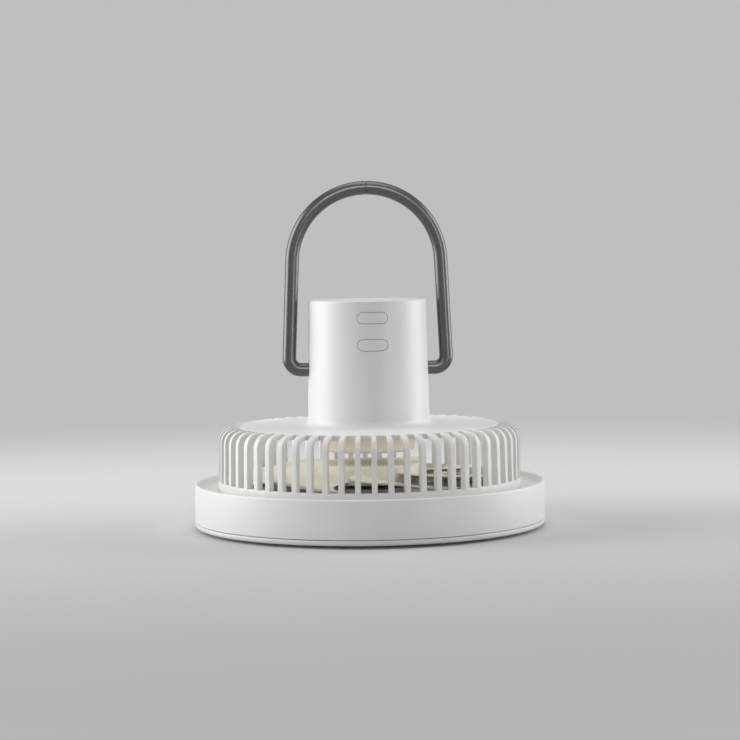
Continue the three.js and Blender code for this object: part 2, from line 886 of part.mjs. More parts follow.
// Ring on the shaft's tail that keeps the impeller from lifting off
function makeShaftClip() {
  const upper = bracketUnder - seatGap;
  const outer = shaftRadius + shaftGap + shaftClipLap;
  return tube(shaftRadius + shaftGap, outer, upper - shaftClipWidth, upper, smallFacets);
}

function makeRotorMagnet() {
  const top = hubUnder - seatGap;
  return tube(magnetInner, magnetOuter, top - magnetHeight, top, hubFacets);
}

// One twisted, swept blade between the hub and the tip, as rows of points from root to tip
function bladeGeometry(angle) {
  const root = hubRadius - hubWall / 2;
  const top = hubTop - bladeDrop;
  const positions = [];
  for (const side of [0, 1]) {
    for (let row = 0; row <= bladeRows; row += 1) {
      const out = row / bladeRows;
      const radius = THREE.MathUtils.lerp(root, bladeTip, out);
      const span = THREE.MathUtils.lerp(bladeRootSpan, bladeTipSpan, out);
      const lead = angle + bladeSweep * out ** 2 - span / 2;
      for (let column = 0; column <= bladeColumns; column += 1) {
        const along = column / bladeColumns;
        const turn = lead + span * along;
        const camber = Math.sin(along * quarterTurn) ** bladeCamberPower;
        const fullness = bladeEdgeShare + (1 - bladeEdgeShare) * Math.sin(along * Math.PI);
        const level = top - bladeHeight * camber - side * bladeThickness * fullness;
        positions.push(radius * Math.cos(turn), radius * Math.sin(turn), level);
      }
    }
  }
  const width = bladeColumns + 1;
  const under = width * (bladeRows + 1);
  const index = [];
  const quad = (a, b, c, d) => index.push(a, b, c, a, c, d);
  for (let row = 0; row < bladeRows; row += 1) {
    for (let column = 0; column < bladeColumns; column += 1) {
      const a = row * width + column;
      quad(a, a + width, a + width + 1, a + 1);
      quad(under + a, under + a + 1, under + a + width + 1, under + a + width);
    }
  }
  for (let row = 0; row < bladeRows; row += 1) {
    const lead = row * width;
    const trail = lead + bladeColumns;
    quad(lead, under + lead, under + lead + width, lead + width);
    quad(trail, trail + width, under + trail + width, under + trail);
  }
  for (let column = 0; column < bladeColumns; column += 1) {
    const tip = bladeRows * width + column;
    quad(column, column + 1, under + column + 1, under + column);
    quad(tip, under + tip, under + tip + 1, tip + 1);
  }
  const geometry = new THREE.BufferGeometry();
  geometry.setAttribute('position', new THREE.Float32BufferAttribute(positions, 3));
  geometry.setIndex(index);
  return geometry;
}

// Cup-shaped hub over the motor, with its blades
function makeImpeller() {
  const bossUnderHub = hubUnder - hubBossHeight;
  const hub = revolve(
    [
      [0, hubTop],
      ...roundPoints(
        [hubRadius - hubRound, hubTop - hubRound],
        [hubRound, hubRound],
        quarterTurn,
        0,
        arcSteps,
      ),
      [hubRadius, hubTop - hubSkirt],
      [hubInner, hubTop - hubSkirt],
      [hubInner, hubUnder],
      [hubBossRadius, hubUnder],
      [hubBossRadius, bossUnderHub],
      [0, bossUnderHub],
    ],
    hubFacets,
  );
  const blades = anglesOf(bladeCount, frontAngle).map((angle) => solidOf(bladeGeometry(angle)));
  const inside = tube(0, hubInner, bracketUnder, hubUnder, hubFacets);
  const boss = tube(0, hubBossRadius, bossUnderHub, hubTop - hubWall / 2, smallFacets);
  const shaftHole = tube(0, shaftRadius + shaftGap, bracketUnder, hubTop - hubWall / 2, smallFacets);
  return cut(join([cut(join(blades), [inside]), hub, boss]), [shaftHole]);
}

// Milky bowl under the cylinder, with a flange against the ceiling and a spigot in the bore
function makeLampLens() {
  const flangeUnder = lensTop - lensFlange;
  const spigotOuter = boreRadiusAt(floorUnder) - seatGap;
  const spigotInner = spigotOuter - lensWall;
  const flangeRadius = boreRadiusAt(floorUnder) + lensLap;
  const innerRound = lensRound - lensWall;
  return revolve(
    [
      [0, lensUnder],
      ...roundPoints(
        [lensRadius - lensRound, lensUnder + lensRound],
        [lensRound, lensRound],
        3 * quarterTurn,
        4 * quarterTurn,
        arcSteps,
      ),
      [lensRadius, flangeUnder],
      [flangeRadius, flangeUnder],
      [flangeRadius, lensTop],
      [spigotOuter, lensTop],
      [spigotOuter, lensTop + lensSpigotHeight],
      [spigotInner, lensTop + lensSpigotHeight],
      [spigotInner, lensTop],
      [lensRadius - lensWall, lensTop],
      ...roundPoints(
        [lensRadius - lensRound, lensUnder + lensRound],
        [innerRound, innerRound],
        4 * quarterTurn,
        3 * quarterTurn,
        edgeSteps,
      ),
      [0, lensUnder + lensWall],
    ],
    bodyFacets,
  );
}

const ledBoardTop = floorUnder - seatGap;
const ledBoardUnder = ledBoardTop - ledBoardThickness;

function makeLedBoard() {
  const holes = lampScrewAngles.map((angle) =>
    post(lampScrewCircle, angle, lampScrewRadius + screwGap, ledBoardUnder - overrun, ledBoardTop + overrun),
  );
  return cut(tube(wireHoleRadius, ledBoardRadius, ledBoardUnder, ledBoardTop, hubFacets), holes);
}

function makeLed(angle) {
  const half = ledSize / 2;
  return block(
    [ledCircle - half, -half, ledBoardUnder - ledHeight],
    [ledCircle + half, half, ledBoardUnder],
    angle,
  );
}

function makeLampScrew(angle) {
  const headTop = ledBoardUnder - seatGap;
  const headUnder = headTop - lampScrewHeadHeight;
  const head = post(lampScrewCircle, angle, lampScrewHeadRadius, headUnder, headTop);
  return head.add(post(lampScrewCircle, angle, lampScrewRadius, headUnder, floorTop - seatGap));
}

// A board that stands upright in its rails; side is -1 at the front and 1 at the rear
function makeBoard(side, halfWidth, height) {
  const [near, far] = side > 0 ? [boardInner, boardOuter] : [-boardOuter, -boardInner];
  return block([-halfWidth, near, floorTop + seatGap], [halfWidth, far, floorTop + seatGap + height]);
}

// A push switch on the front of the control board
function makeSwitch(level) {
  const half = switchSize / 2;
  const face = boardOuter + switchHeight;
  const body = block([-half, -face, level - half], [half, -boardOuter, level + half]);
  const plunger = bar(
    new THREE.Vector3(0, -boardOuter, level),
    new THREE.Vector3(0, -plungerTop, level),
    plungerRadius,
  );
  return body.add(plunger);
}

// Charging inlet on the rear board: a shell open to the rear with a tongue in it
function makeSocket() {
  const mouth = bodyRadiusAt(socketLevel) - socketSink;
  const shell = pillBar(socketWidth, socketHeight, socketLevel, boardOuter, mouth);
  const hollow = pillBar(
    socketWidth - 2 * socketWall,
    socketHeight - 2 * socketWall,
    socketLevel,
    mouth - socketDepth,
    mouth + overrun,
  );
  const tongue = block(
    [-tongueWidth / 2, mouth - socketDepth - socketWall, socketLevel - tongueHeight / 2],
    [tongueWidth / 2, mouth - socketWall, socketLevel + tongueHeight / 2],
  );
  return shell.subtract(hollow).add(tongue);
}

// Outline of the holder's plates: the bundle of four cells with a margin
function holderShape() {
  const round = cellRadius + holderMargin;
  const shape = new THREE.Shape();
  [0, 1, 2, 3].forEach((quarter) => {
    const middle = quarterTurn * (quarter + 1 / 2);
    const x = Math.sign(Math.cos(middle)) * cellOffset;
    const y = Math.sign(Math.sin(middle)) * cellOffset;
    shape.absarc(x, y, round, quarter * quarterTurn, (quarter + 1) * quarterTurn, false);
  });
  return shape;
}

function makeHolder() {
  const floor = solidOf(raise(holderShape(), holderUnder, holderUnder + holderFloor));
  const cover = solidOf(raise(holderShape(), holderCoverUnder, holderTop));
  const spine = tube(0, holderSpine, holderUnder, holderTop, smallFacets);
  return join([floor, cover, spine]);
}

// A round cell with its raised contact
function makeCell(x, y) {
  const shoulder = cellTop - cellTipHeight;
  const outline = [
    [0, cellUnder],
    [cellRadius, cellUnder],
    [cellRadius, shoulder],
    [cellTipRadius, shoulder],
    [cellTipRadius, cellTop],
    [0, cellTop],
  ];
  const points = outline.map(([radius, level]) => new THREE.Vector2(radius, level));
  return new THREE.LatheGeometry(points, smallFacets).rotateX(quarterTurn).translate(x, y, 0);
}

// A pill-shaped button that follows the cylinder's surface, with a flange behind the wall
function makeButton(level) {
  const reach = -bodyBaseRadius - overrun;
  const half = buttonHeight;
  const skin = revolve(
    [
      [0, level - half],
      [bodyRadiusAt(level - half), level - half],
      [bodyRadiusAt(level + half), level + half],
      [0, level + half],
    ],
    bodyFacets,
  );
  const face = pillBar(buttonWidth, buttonHeight, level, 0, reach).intersect(skin);
  const flangeBar = pillBar(
    buttonWidth + 2 * buttonFlange,
    buttonHeight + 2 * buttonFlange,
    level,
    0,
    reach,
  );
  const flange = flangeBar.intersect(tube(0, buttonFlangeOuter, level - half, level + half, bodyFacets));
  return face.add(flange).subtract(tube(0, buttonBack, level - 2 * half, level + 2 * half, bodyFacets));
}

// The bail's shape: half the arch, a straight leg that leans out, a bend and the pivot end
const pivotHalfWidth = bodyRadiusAt(pivotLevel) + bailStandoff;
const archRadius = pivotHalfWidth - archInset;
const archLevel = pivotLevel + archRise;
const pivotToArch = Math.hypot(pivotHalfWidth, archRise);
const legLean = Math.acos(archRadius / pivotToArch) - Math.atan(archRise / pivotHalfWidth);
const bendTurn = quarterTurn + legLean;
const legSlope = new THREE.Vector3(Math.sin(legLean), 0, -Math.cos(legLean));
const archEnd = new THREE.Vector3(
  archRadius * Math.cos(legLean),
  0,
  archLevel + archRadius * Math.sin(legLean),
);
const bendCentreX = pivotHalfWidth - bendRadius * Math.tan(bendTurn / 2);
const legLength = (pivotHalfWidth - archEnd.x) / Math.sin(legLean) - bendRadius * Math.tan(bendTurn / 2);
const bushInner = boreRadiusAt(pivotLevel) - pivotBossLength;
const clipOuterX = bushInner - seatGap - bushFlangeThickness - seatGap;
const clipInnerX = clipOuterX - clipThickness;
const rodEndX = clipInnerX - rodTail;

// Centre line of one half of the bail, stepped finely round its arcs and once along its straights
class RodLine extends THREE.Curve {
  constructor(hand) {
    super();
    this.hand = hand;
    this.pieces = [
      { steps: archSteps, at: (share) => this.arch(share) },
      { steps: straightSteps, at: (share) => this.leg(share) },
      { steps: bendSteps, at: (share) => this.bend(share) },
      { steps: straightSteps, at: (share) => this.end(share) },
    ];
    this.steps = this.pieces.reduce((sum, piece) => sum + piece.steps, 0);
  }

  arch(share) {
    const start = quarterTurn - crownGap / 2 / archRadius;
    const angle = THREE.MathUtils.lerp(start, legLean, share);
    const offset = new THREE.Vector3(Math.cos(angle), 0, Math.sin(angle)).multiplyScalar(archRadius);
    const point = new THREE.Vector3(0, 0, archLevel).add(offset);
    return { point, way: new THREE.Vector3(Math.sin(angle), 0, -Math.cos(angle)) };
  }

  leg(share) {
    return { point: archEnd.clone().addScaledVector(legSlope, share * legLength), way: legSlope.clone() };
  }

  bend(share) {
    const angle = legLean - bendTurn * share;
    const centre = new THREE.Vector3(bendCentreX, 0, pivotLevel + bendRadius);
    const offset = new THREE.Vector3(Math.cos(angle), 0, Math.sin(angle)).multiplyScalar(bendRadius);
    return { point: centre.add(offset), way: new THREE.Vector3(Math.sin(angle), 0, -Math.cos(angle)) };
  }

  end(share) {
    const x = THREE.MathUtils.lerp(bendCentreX, rodEndX, share);
    return { point: new THREE.Vector3(x, 0, pivotLevel), way: alongX.clone().negate() };
  }

  place(t) {
    let step = t * this.steps;
    for (const piece of this.pieces) {
      if (step <= piece.steps + Number.EPSILON * this.steps) return piece.at(Math.min(step / piece.steps, 1));
      step -= piece.steps;
    }
    return this.pieces.at(-1).at(1);
  }

  getPoint(t) {
    const { point } = this.place(t);
    return point.setX(point.x * this.hand);
  }

  getPointAt(t) {
    return this.getPoint(t);
  }

  getTangentAt(t) {
    const { way } = this.place(t);
    return way.setX(way.x * this.hand);
  }
}

// Half of the bail, bored at the crown for the dowel and grooved at its end for the clip
function makeHandle(hand) {
  const line = new RodLine(hand);
  const section = new THREE.Shape().absarc(0, 0, rodRadius, 0, fullTurn, false);
  const rod = solidOf(
    new THREE.ExtrudeGeometry(section, {
      extrudePath: line,
      steps: line.steps,
      bevelEnabled: false,
      curveSegments: rodFacets / 2,
    }),
  );
  const crown = new THREE.Vector3(0, 0, archLevel + archRadius);
  const boreEnd = crown.clone().setX(hand * (dowelLength / 2 + dowelRoom));
  const bore = bar(crown.clone().setX(-hand * overrun), boreEnd, dowelRadius + dowelRoom);
  const grooveFrom = new THREE.Vector3(hand * (clipInnerX - seatGap / 2), 0, pivotLevel);
  const grooveTo = new THREE.Vector3(hand * (clipOuterX + seatGap / 2), 0, pivotLevel);
  const collar = bar(grooveFrom, grooveTo, rodRadius + overrun, rodFacets);
  const core = bar(grooveFrom, grooveTo, rodRadius - clipGroove, rodFacets);
  return cut(rod, [bore, collar.subtract(core)]);
}

function makeDowel() {
  const crown = new THREE.Vector3(0, 0, archLevel + archRadius);
  const half = dowelLength / 2;
  return bar(crown.clone().setX(-half), crown.clone().setX(half), dowelRadius);
}

// Flanged sleeve in the cylinder's boss, round the bail's pivot end
function makePivotBush(hand) {
  const centre = (distance) => new THREE.Vector3(hand * distance, 0, pivotLevel);
  const radius = rodRadius + seatGap + bushWall;
  const flangeEnd = bushInner - seatGap;
  const start = centre(flangeEnd - bushFlangeThickness);
  const sleeve = bar(start, centre(bushInner + bushDepth), radius, rodFacets);
  const flange = bar(start, centre(flangeEnd), radius + bushFlange, rodFacets);
  const hole = bar(centre(0), centre(bodyBaseRadius), rodRadius + seatGap, rodFacets);
  return sleeve.add(flange).subtract(hole);
}

// Open ring in the rod's groove
function makeClip(hand) {
  const inner = rodRadius - clipGroove + seatGap;
  const shape = arcShape(inner, inner + clipWidth, 0, clipSpan);
  const [lower, upper] = hand > 0 ? [clipInnerX, clipOuterX] : [-clipOuterX, -clipInnerX];
  const geometry = raise(shape, lower, upper, clipSteps);
  return solidOf(geometry.rotateY(quarterTurn).translate(0, 0, pivotLevel));
}

// Materials
function material(colour, roughness, metalness) {
  return new THREE.MeshStandardMaterial({ color: new THREE.Color(colour), roughness, metalness });
}

const bodyPlastic = ['#e4e5e2', 0.42, 0];
const creamPlastic = ['#dcdacb', 0.45, 0];
const milkyPlastic = ['#dcd5c2', 0.35, 0];
const blackPlastic = ['#26272a', 0.5, 0];
const satinMetal = ['#85868a', 0.35, 1];
const steel = ['#b9bbbf', 0.3, 1];
const bronze = ['#9c7a46', 0.45, 1];
const copper = ['#b0683a', 0.4, 1];
const boardGreen = ['#2f5d43', 0.6, 0];
const ledResin = ['#c9cde0', 0.25, 0];
const rubber = ['#3a3b3d', 0.85, 0];
const cellWrap = ['#3f6f9b', 0.4, 0];
const magnetFerrite = ['#3b3a3c', 0.6, 0.2];

const group = new THREE.Group();

function addPiece(parent, name, solid, finish) {
  const geometry = solid.isBufferGeometry ? solid : geometryOf(solid);
  const mesh = new THREE.Mesh(geometry, material(...finish));
  mesh.name = name;
  parent.add(mesh);
}

// Copies of a piece round the axis, each with its own number
function addRing(parent, name, angles, make, finish) {
  angles.forEach((angle, i) => addPiece(parent, `${name}_${i + 1}`, make(angle), finish));
}

function subgroup() {
  const part = new THREE.Group();
  group.add(part);
  return part;
}

const housing = subgroup();
addPiece(housing, 'housing_shell', makeHousing(), bodyPlastic);
addPiece(housing, 'top_cap', makeTopCap(), bodyPlastic);
addPiece(housing, 'base_ring', makeBaseRing(), bodyPlastic);
addRing(housing, 'base_screw', baseScrewAngles, makeBaseScrew, steel);

const lamp = subgroup();
addPiece(lamp, 'lamp_lens', makeLampLens(), milkyPlastic);
addPiece(lamp, 'uv_led_board', makeLedBoard(), boardGreen);
addRing(lamp, 'uv_led', anglesOf(ledCount, Math.PI / ledCount), makeLed, ledResin);
addRing(lamp, 'lamp_board_screw', lampScrewAngles, makeLampScrew, steel);

const killer = subgroup();
addPiece(killer, 'grid_frame', makeGridFrame(), creamPlastic);
addPiece(killer, 'grid_wires_live', makeGridWires(1), steel);
addPiece(killer, 'grid_wires_return', makeGridWires(-1), steel);
addPiece(killer, 'high_voltage_module', makeHighVoltageModule(), blackPlastic);

const fan = subgroup();
addPiece(fan, 'fan_bracket', makeFanBracket(), creamPlastic);
addPiece(fan, 'motor_board', makeMotorBoard(), boardGreen);
addPiece(fan, 'stator_core', makeStatorCore(), steel);
addPiece(fan, 'stator_winding', makeStatorWinding(), copper);
addPiece(fan, 'lower_bearing', makeBearing(bracketUnder), bronze);
addPiece(fan, 'upper_bearing', makeBearing(statorTop - bearingHeight), bronze);
addPiece(fan, 'impeller', makeImpeller(), creamPlastic);
addPiece(fan, 'rotor_magnet', makeRotorMagnet(), magnetFerrite);
addPiece(fan, 'motor_shaft', makeMotorShaft(), steel);
addPiece(fan, 'shaft_clip', makeShaftClip(), steel);

const power = subgroup();
const frontBoard = [-1, controlBoardHalfWidth, controlBoardHeight];
const rearBoard = [1, chargeBoardHalfWidth, chargeBoardHeight];
addPiece(power, 'control_board', makeBoard(...frontBoard), boardGreen);
addPiece(power, 'charge_board', makeBoard(...rearBoard), boardGreen);
addPiece(power, 'usb_socket', makeSocket(), steel);
addPiece(power, 'battery_holder', makeHolder(), blackPlastic);
const cellPlaces = [
  [-cellOffset, -cellOffset],
  [cellOffset, -cellOffset],
  [-cellOffset, cellOffset],
  [cellOffset, cellOffset],
];
cellPlaces.forEach(([x, y], i) => addPiece(power, `battery_cell_${i + 1}`, makeCell(x, y), cellWrap));

const buttons = subgroup();
const buttonRows = [
  ['power', upperButtonLevel],
  ['mode', lowerButtonLevel],
];
for (const [name, level] of buttonRows) {
  addPiece(buttons, `${name}_button`, makeButton(level), bodyPlastic);
  addPiece(buttons, `${name}_switch`, makeSwitch(level), blackPlastic);
}

const bail = subgroup();
for (const [name, hand] of [['left', -1], ['right', 1]]) {
  addPiece(bail, `handle_${name}`, makeHandle(hand), satinMetal);
  addPiece(bail, `clip_${name}`, makeClip(hand), steel);
  addPiece(bail, `pivot_bush_${name}`, makePivotBush(hand), creamPlastic);
}
addPiece(bail, 'handle_dowel', makeDowel(), steel);

const tray = subgroup();
addPiece(tray, 'catch_tray', makeCatchTray(), bodyPlastic);
addRing(tray, 'rubber_foot', footAngles, makeFoot, rubber);

export default group;
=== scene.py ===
# %% [markdown]
# A hanging insect killer: a slatted drum on a low base ring, an upright cylinder with two pill
# buttons, and a metal bail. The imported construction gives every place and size, and this lesson
# dresses it: first the camera, floor and light, then the finishes, then one piece after another.

# %% Load the construction
import json
import math

import bmesh
import bpy
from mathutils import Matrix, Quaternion, Vector

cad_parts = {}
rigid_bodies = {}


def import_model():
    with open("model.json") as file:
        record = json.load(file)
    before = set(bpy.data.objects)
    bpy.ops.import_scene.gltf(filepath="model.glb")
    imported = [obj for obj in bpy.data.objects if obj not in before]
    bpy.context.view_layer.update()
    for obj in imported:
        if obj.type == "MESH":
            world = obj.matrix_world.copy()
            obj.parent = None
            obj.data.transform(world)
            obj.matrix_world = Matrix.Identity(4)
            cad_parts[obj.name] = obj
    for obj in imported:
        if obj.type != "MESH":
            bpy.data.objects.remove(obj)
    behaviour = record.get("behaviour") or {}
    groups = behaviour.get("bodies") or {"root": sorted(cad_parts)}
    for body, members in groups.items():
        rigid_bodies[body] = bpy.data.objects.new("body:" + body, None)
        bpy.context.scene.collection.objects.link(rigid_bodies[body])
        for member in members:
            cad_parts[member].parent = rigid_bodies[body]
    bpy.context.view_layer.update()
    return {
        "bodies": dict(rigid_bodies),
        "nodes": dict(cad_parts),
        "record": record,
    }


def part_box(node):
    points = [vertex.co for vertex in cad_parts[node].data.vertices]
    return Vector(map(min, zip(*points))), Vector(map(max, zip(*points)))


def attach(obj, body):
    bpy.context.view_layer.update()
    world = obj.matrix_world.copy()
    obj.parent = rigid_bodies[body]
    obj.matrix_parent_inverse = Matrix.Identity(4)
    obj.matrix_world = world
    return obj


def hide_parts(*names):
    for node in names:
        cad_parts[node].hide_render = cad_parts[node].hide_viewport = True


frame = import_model()
mm = 0.001
full_turn = 2 * math.pi
quarter_turn = math.pi / 2
print("bodies", sorted(frame["bodies"]), "nodes", len(frame["nodes"]))

# %% [markdown]
# The camera stands a little over a metre off, slightly above the drum and a touch to its left,
# with a long lens, so the ellipses of ring and drum stay flat. It could be framed by eye, but a
# fit of the outlines gives the angle, the distance and the small roll directly.

# %% Camera
image_side = 740
focal_pixels = 2213
azimuth = math.radians(-4.8)
pitch = math.radians(3.25)
roll = math.radians(-0.823)
camera_distance = 1139.5 * mm
aim_level = 80.7 * mm
aim_shift = 0.94 * mm

camera_data = bpy.data.cameras.new("camera")
camera_data.lens = focal_pixels / image_side * camera_data.sensor_width
camera = bpy.data.objects.new("camera", camera_data)
bpy.context.scene.collection.objects.link(camera)
bpy.context.scene.camera = camera
backward = Vector(
    (math.sin(azimuth) * math.cos(pitch), -math.cos(azimuth) * math.cos(pitch), math.sin(pitch))
)
camera_right = Vector((math.cos(azimuth), math.sin(azimuth), 0))
aim = Vector((0, 0, aim_level)) + camera_right * aim_shift
camera.location = aim + backward * camera_distance
camera.rotation_mode = "QUATERNION"
camera.rotation_quaternion = (-backward).to_track_quat("-Z", "Y") @ Quaternion((0, 0, 1), roll)
print("lens", round(camera_data.lens, 2), "mm at", [round(c, 4) for c in camera.location])

# %% [markdown]
# Node trees read best as plain sums. Every node could be made and wired by hand, which takes four
# lines each. Here one class holds a socket and turns the usual operators into Math nodes, and one
# method makes any other node from its type, its settings and its inputs.

# %% Node maths
class Signal:
    """An output socket in a node tree, which can be added, multiplied and wired on."""

    def __init__(self, tree, socket):
        self.tree = tree
        self.socket = socket

    def __getitem__(self, name):
        return Signal(self.tree, self.socket.node.outputs[name])

    def maths(self, operation, first, second=0.0):
        settings = {"operation": operation}
        return make_node(self.tree, "ShaderNodeMath", settings, {0: first, 1: second})

    def __add__(self, other):
        return self.maths("ADD", self, other)

    def __radd__(self, other):
        return self.maths("ADD", other, self)

    def __sub__(self, other):
        return self.maths("SUBTRACT", self, other)

    def __rsub__(self, other):
        return self.maths("SUBTRACT", other, self)

    def __mul__(self, other):
        return self.maths("MULTIPLY", self, other)

    def __rmul__(self, other):
        return self.maths("MULTIPLY", other, self)

    def __truediv__(self, other):
        return self.maths("DIVIDE", self, other)

    def __pow__(self, other):
        return self.maths("POWER", self, other)


def make_node(tree, kind, settings=None, values=None, output=0):
    """One node of any type: its settings first, then its inputs by name, place or identifier."""
    node = tree.nodes.new(kind)
    for key, value in (settings or {}).items():
        setattr(node, key, value)
    for key, value in (values or {}).items():
        wire(tree, value, node.inputs[key])
    return Signal(tree, node.outputs[output])


def wire(tree, value, socket):
    """Links a signal to a socket, several signals in turn, or writes a plain value on it."""
    if isinstance(value, Signal):
        tree.links.new(value.socket, socket)
    elif isinstance(value, list):
        for one in value:
            tree.links.new(one.socket, socket)
    else:
        socket.default_value = value


# %% [markdown]
# The background shows its grey to the camera and to mirrors alone, while a weaker even light falls
# on the object. One background for both would be simpler, but then the backdrop's tone would also
# decide how dark the shadows are.

# %% Background
backdrop_colour = (0.52, 0.52, 0.515, 1)
ambient_colour = (1, 1, 1, 1)
ambient_level = 0.38


def clamped(signal):
    """A signal held between 0 and 1."""
    return make_node(signal.tree, "ShaderNodeClamp", values={0: signal})


def lead_out(tree, kind, surface):
    """Ends a shader tree: the surface goes into an output node of a kind."""
    sink = tree.nodes.new(kind)
    tree.links.new(surface.socket, sink.inputs["Surface"])


def make_world():
    """The even light, with the backdrop's grey for the camera and for mirrors."""
    world = bpy.data.worlds.new("studio")
    world.use_nodes = True
    tree = world.node_tree
    tree.nodes.clear()
    path = make_node(tree, "ShaderNodeLightPath")
    seen = clamped(path["Is Camera Ray"] + path["Is Glossy Ray"] + path["Is Transmission Ray"])
    ambient = make_node(
        tree, "ShaderNodeBackground", values={"Color": ambient_colour, "Strength": ambient_level}
    )
    shown = make_node(
        tree, "ShaderNodeBackground", values={"Color": backdrop_colour, "Strength": 1.0}
    )
    mixed = make_node(tree, "ShaderNodeMixShader", values={0: seen, 1: ambient, 2: shown})
    lead_out(tree, "ShaderNodeOutputWorld", mixed)
    bpy.context.scene.world = world


make_world()
bpy.context.scene.view_settings.view_transform = "Standard"
print("background", backdrop_colour[:3], "even light", ambient_level)

# %% [markdown]
# The floor is a plain pale sheet that only has to carry the object's shadow. A wide floor would
# draw a hard horizon across the bail, so this one fades out into the background with distance from
# the object.

# %% Floor
floor_colour = (0.70, 0.70, 0.69, 1)
floor_roughness = 0.8
floor_grain_scale = 900.0
floor_grain = {"Distance": 0.02 * mm, "Strength": 0.3}
floor_reach = 1.6
floor_fade_start = 0.22
floor_fade_end = 0.75


def make_floor():
    """A grained sheet that turns transparent away from the object."""
    material = bpy.data.materials.new("pale_floor")
    material.use_nodes = True
    tree = material.node_tree
    tree.nodes.clear()
    place = make_node(tree, "ShaderNodeTexCoord")["Object"]
    away = make_node(tree, "ShaderNodeVectorMath", {"operation": "LENGTH"}, {0: place}, "Value")
    fade = make_node(
        tree,
        "ShaderNodeMapRange",
        {"interpolation_type": "SMOOTHSTEP"},
        {"Value": away, "From Min": floor_fade_start, "From Max": floor_fade_end},
    )
    noise_values = {"Vector": place, "Scale": floor_grain_scale}
    grain = make_node(tree, "ShaderNodeTexNoise", values=noise_values)["Fac"]
    bump = make_node(tree, "ShaderNodeBump", values={"Height": grain, **floor_grain})
    paint = make_node(
        tree,
        "ShaderNodeBsdfDiffuse",
        values={"Color": floor_colour, "Roughness": floor_roughness, "Normal": bump},
    )
    nothing = make_node(tree, "ShaderNodeBsdfTransparent")
    mixed = make_node(tree, "ShaderNodeMixShader", values={0: fade, 1: paint, 2: nothing})
    lead_out(tree, "ShaderNodeOutputMaterial", mixed)
    data = bpy.data.meshes.new("floor")
    data.from_pydata(
        [(x * floor_reach, y * floor_reach, 0) for x, y in ((-1, -1), (1, -1), (1, 1), (-1, 1))],
        [],
        [(0, 1, 2, 3)],
    )
    data.materials.append(material)
    floor = bpy.data.objects.new("floor", data)
    bpy.context.scene.collection.objects.link(floor)


make_floor()
print("floor fades from", floor_fade_start, "to", floor_fade_end, "m")

# %% [markdown]
# Two tall soft boxes stand left and right, the left one stronger, and the front stays darker. That
# is why the sides of the cylinder are brightest and its middle is grey, and a weak panel overhead
# lights the flat tops. Satin metal needs something to mirror, so two narrow strips that only gloss
# can see draw the lines along the bail. Thin white slats let some light through; a very weak disc
# under the drum's ceiling gives the inside that light without making the plastic see-through.

# %% Lamps
def soft_box(name, place, size, power):
    """A rectangular lamp that looks at the middle of the object."""
    data = bpy.data.lights.new(name, "AREA")
    data.shape = "RECTANGLE"
    data.size, data.size_y = size
    data.energy = power
    lamp = bpy.data.objects.new(name, data)
    bpy.context.scene.collection.objects.link(lamp)
    lamp.location = place
    target = Vector((0, 0, aim_level))
    lamp.rotation_mode = "QUATERNION"
    lamp.rotation_quaternion = (target - Vector(place)).to_track_quat("-Z", "Y")
    return lamp


# Place and size in metres, then power in watts.
lamp_table = {
    "left_box": ((-0.85, 0.10, 0.30), (0.7, 0.9), 7.8),
    "right_box": ((0.90, 0.10, 0.30), (0.6, 0.9), 6.0),
    "top_panel": ((0.05, 0.05, 0.95), (0.8, 0.5), 2.2),
    "arch_strip": ((0, -1.0, 0.62), (0.7, 0.22), 3.0),
    "leg_strip": ((0.65, -0.95, 0.20), (0.20, 0.7), 1.8),
}
disc_size = 125 * mm
disc_level = 49.6 * mm
disc_power = 0.022
facing_down = (1, 0, 0, 0)

lamps = {name: soft_box(name, *row) for name, row in lamp_table.items()}
for name in ("arch_strip", "leg_strip"):
    lamps[name].visible_diffuse = False
drum_disc = soft_box("drum_disc", (0, 0, disc_level), (disc_size, disc_size), disc_power)
drum_disc.data.shape = "DISK"
drum_disc.rotation_quaternion = facing_down
drum_disc.visible_camera = False
drum_disc.visible_glossy = False

# %% [markdown]
# Moulded plastic is never one flat colour: the mould's fine grain breaks up its gloss, and its
# tone drifts a little over a hand's width. Each plastic could have its own tree, but they differ
# only in numbers. So all are one recipe: a fine noise for the grain behind the bump, and a wide
# one for tone and gloss.

# %% Plastic finishes
def principled(name):
    """A new material, its tree and its surface shader."""
    material = bpy.data.materials.new(name)
    material.use_nodes = True
    return material, material.node_tree, material.node_tree.nodes["Principled BSDF"]


def noise(place, scale, detail=2.0):
    """Soft noise between 0 and 1 over a place in metres."""
    values = {"Vector": place, "Scale": scale, "Detail": detail}
    return make_node(place.tree, "ShaderNodeTexNoise", values=values)["Fac"]


def tone(factor, light, dark):
    """A colour between two by a factor."""
    return make_node(
        factor.tree,
        "ShaderNodeMix",
        {"data_type": "RGBA"},
        {"Factor": factor, 6: (*light, 1), 7: (*dark, 1)},
        2,
    )


def bump_of(height, distance, strength):
    """A normal that makes a height signal look raised."""
    values = {"Height": height, "Distance": distance, "Strength": strength}
    return make_node(height.tree, "ShaderNodeBump", values=values)


drift_scale = 28.0
fine_detail = 3.0
gloss_drift = 0.12
gloss_grain = 0.04
plastic_bump = 0.5


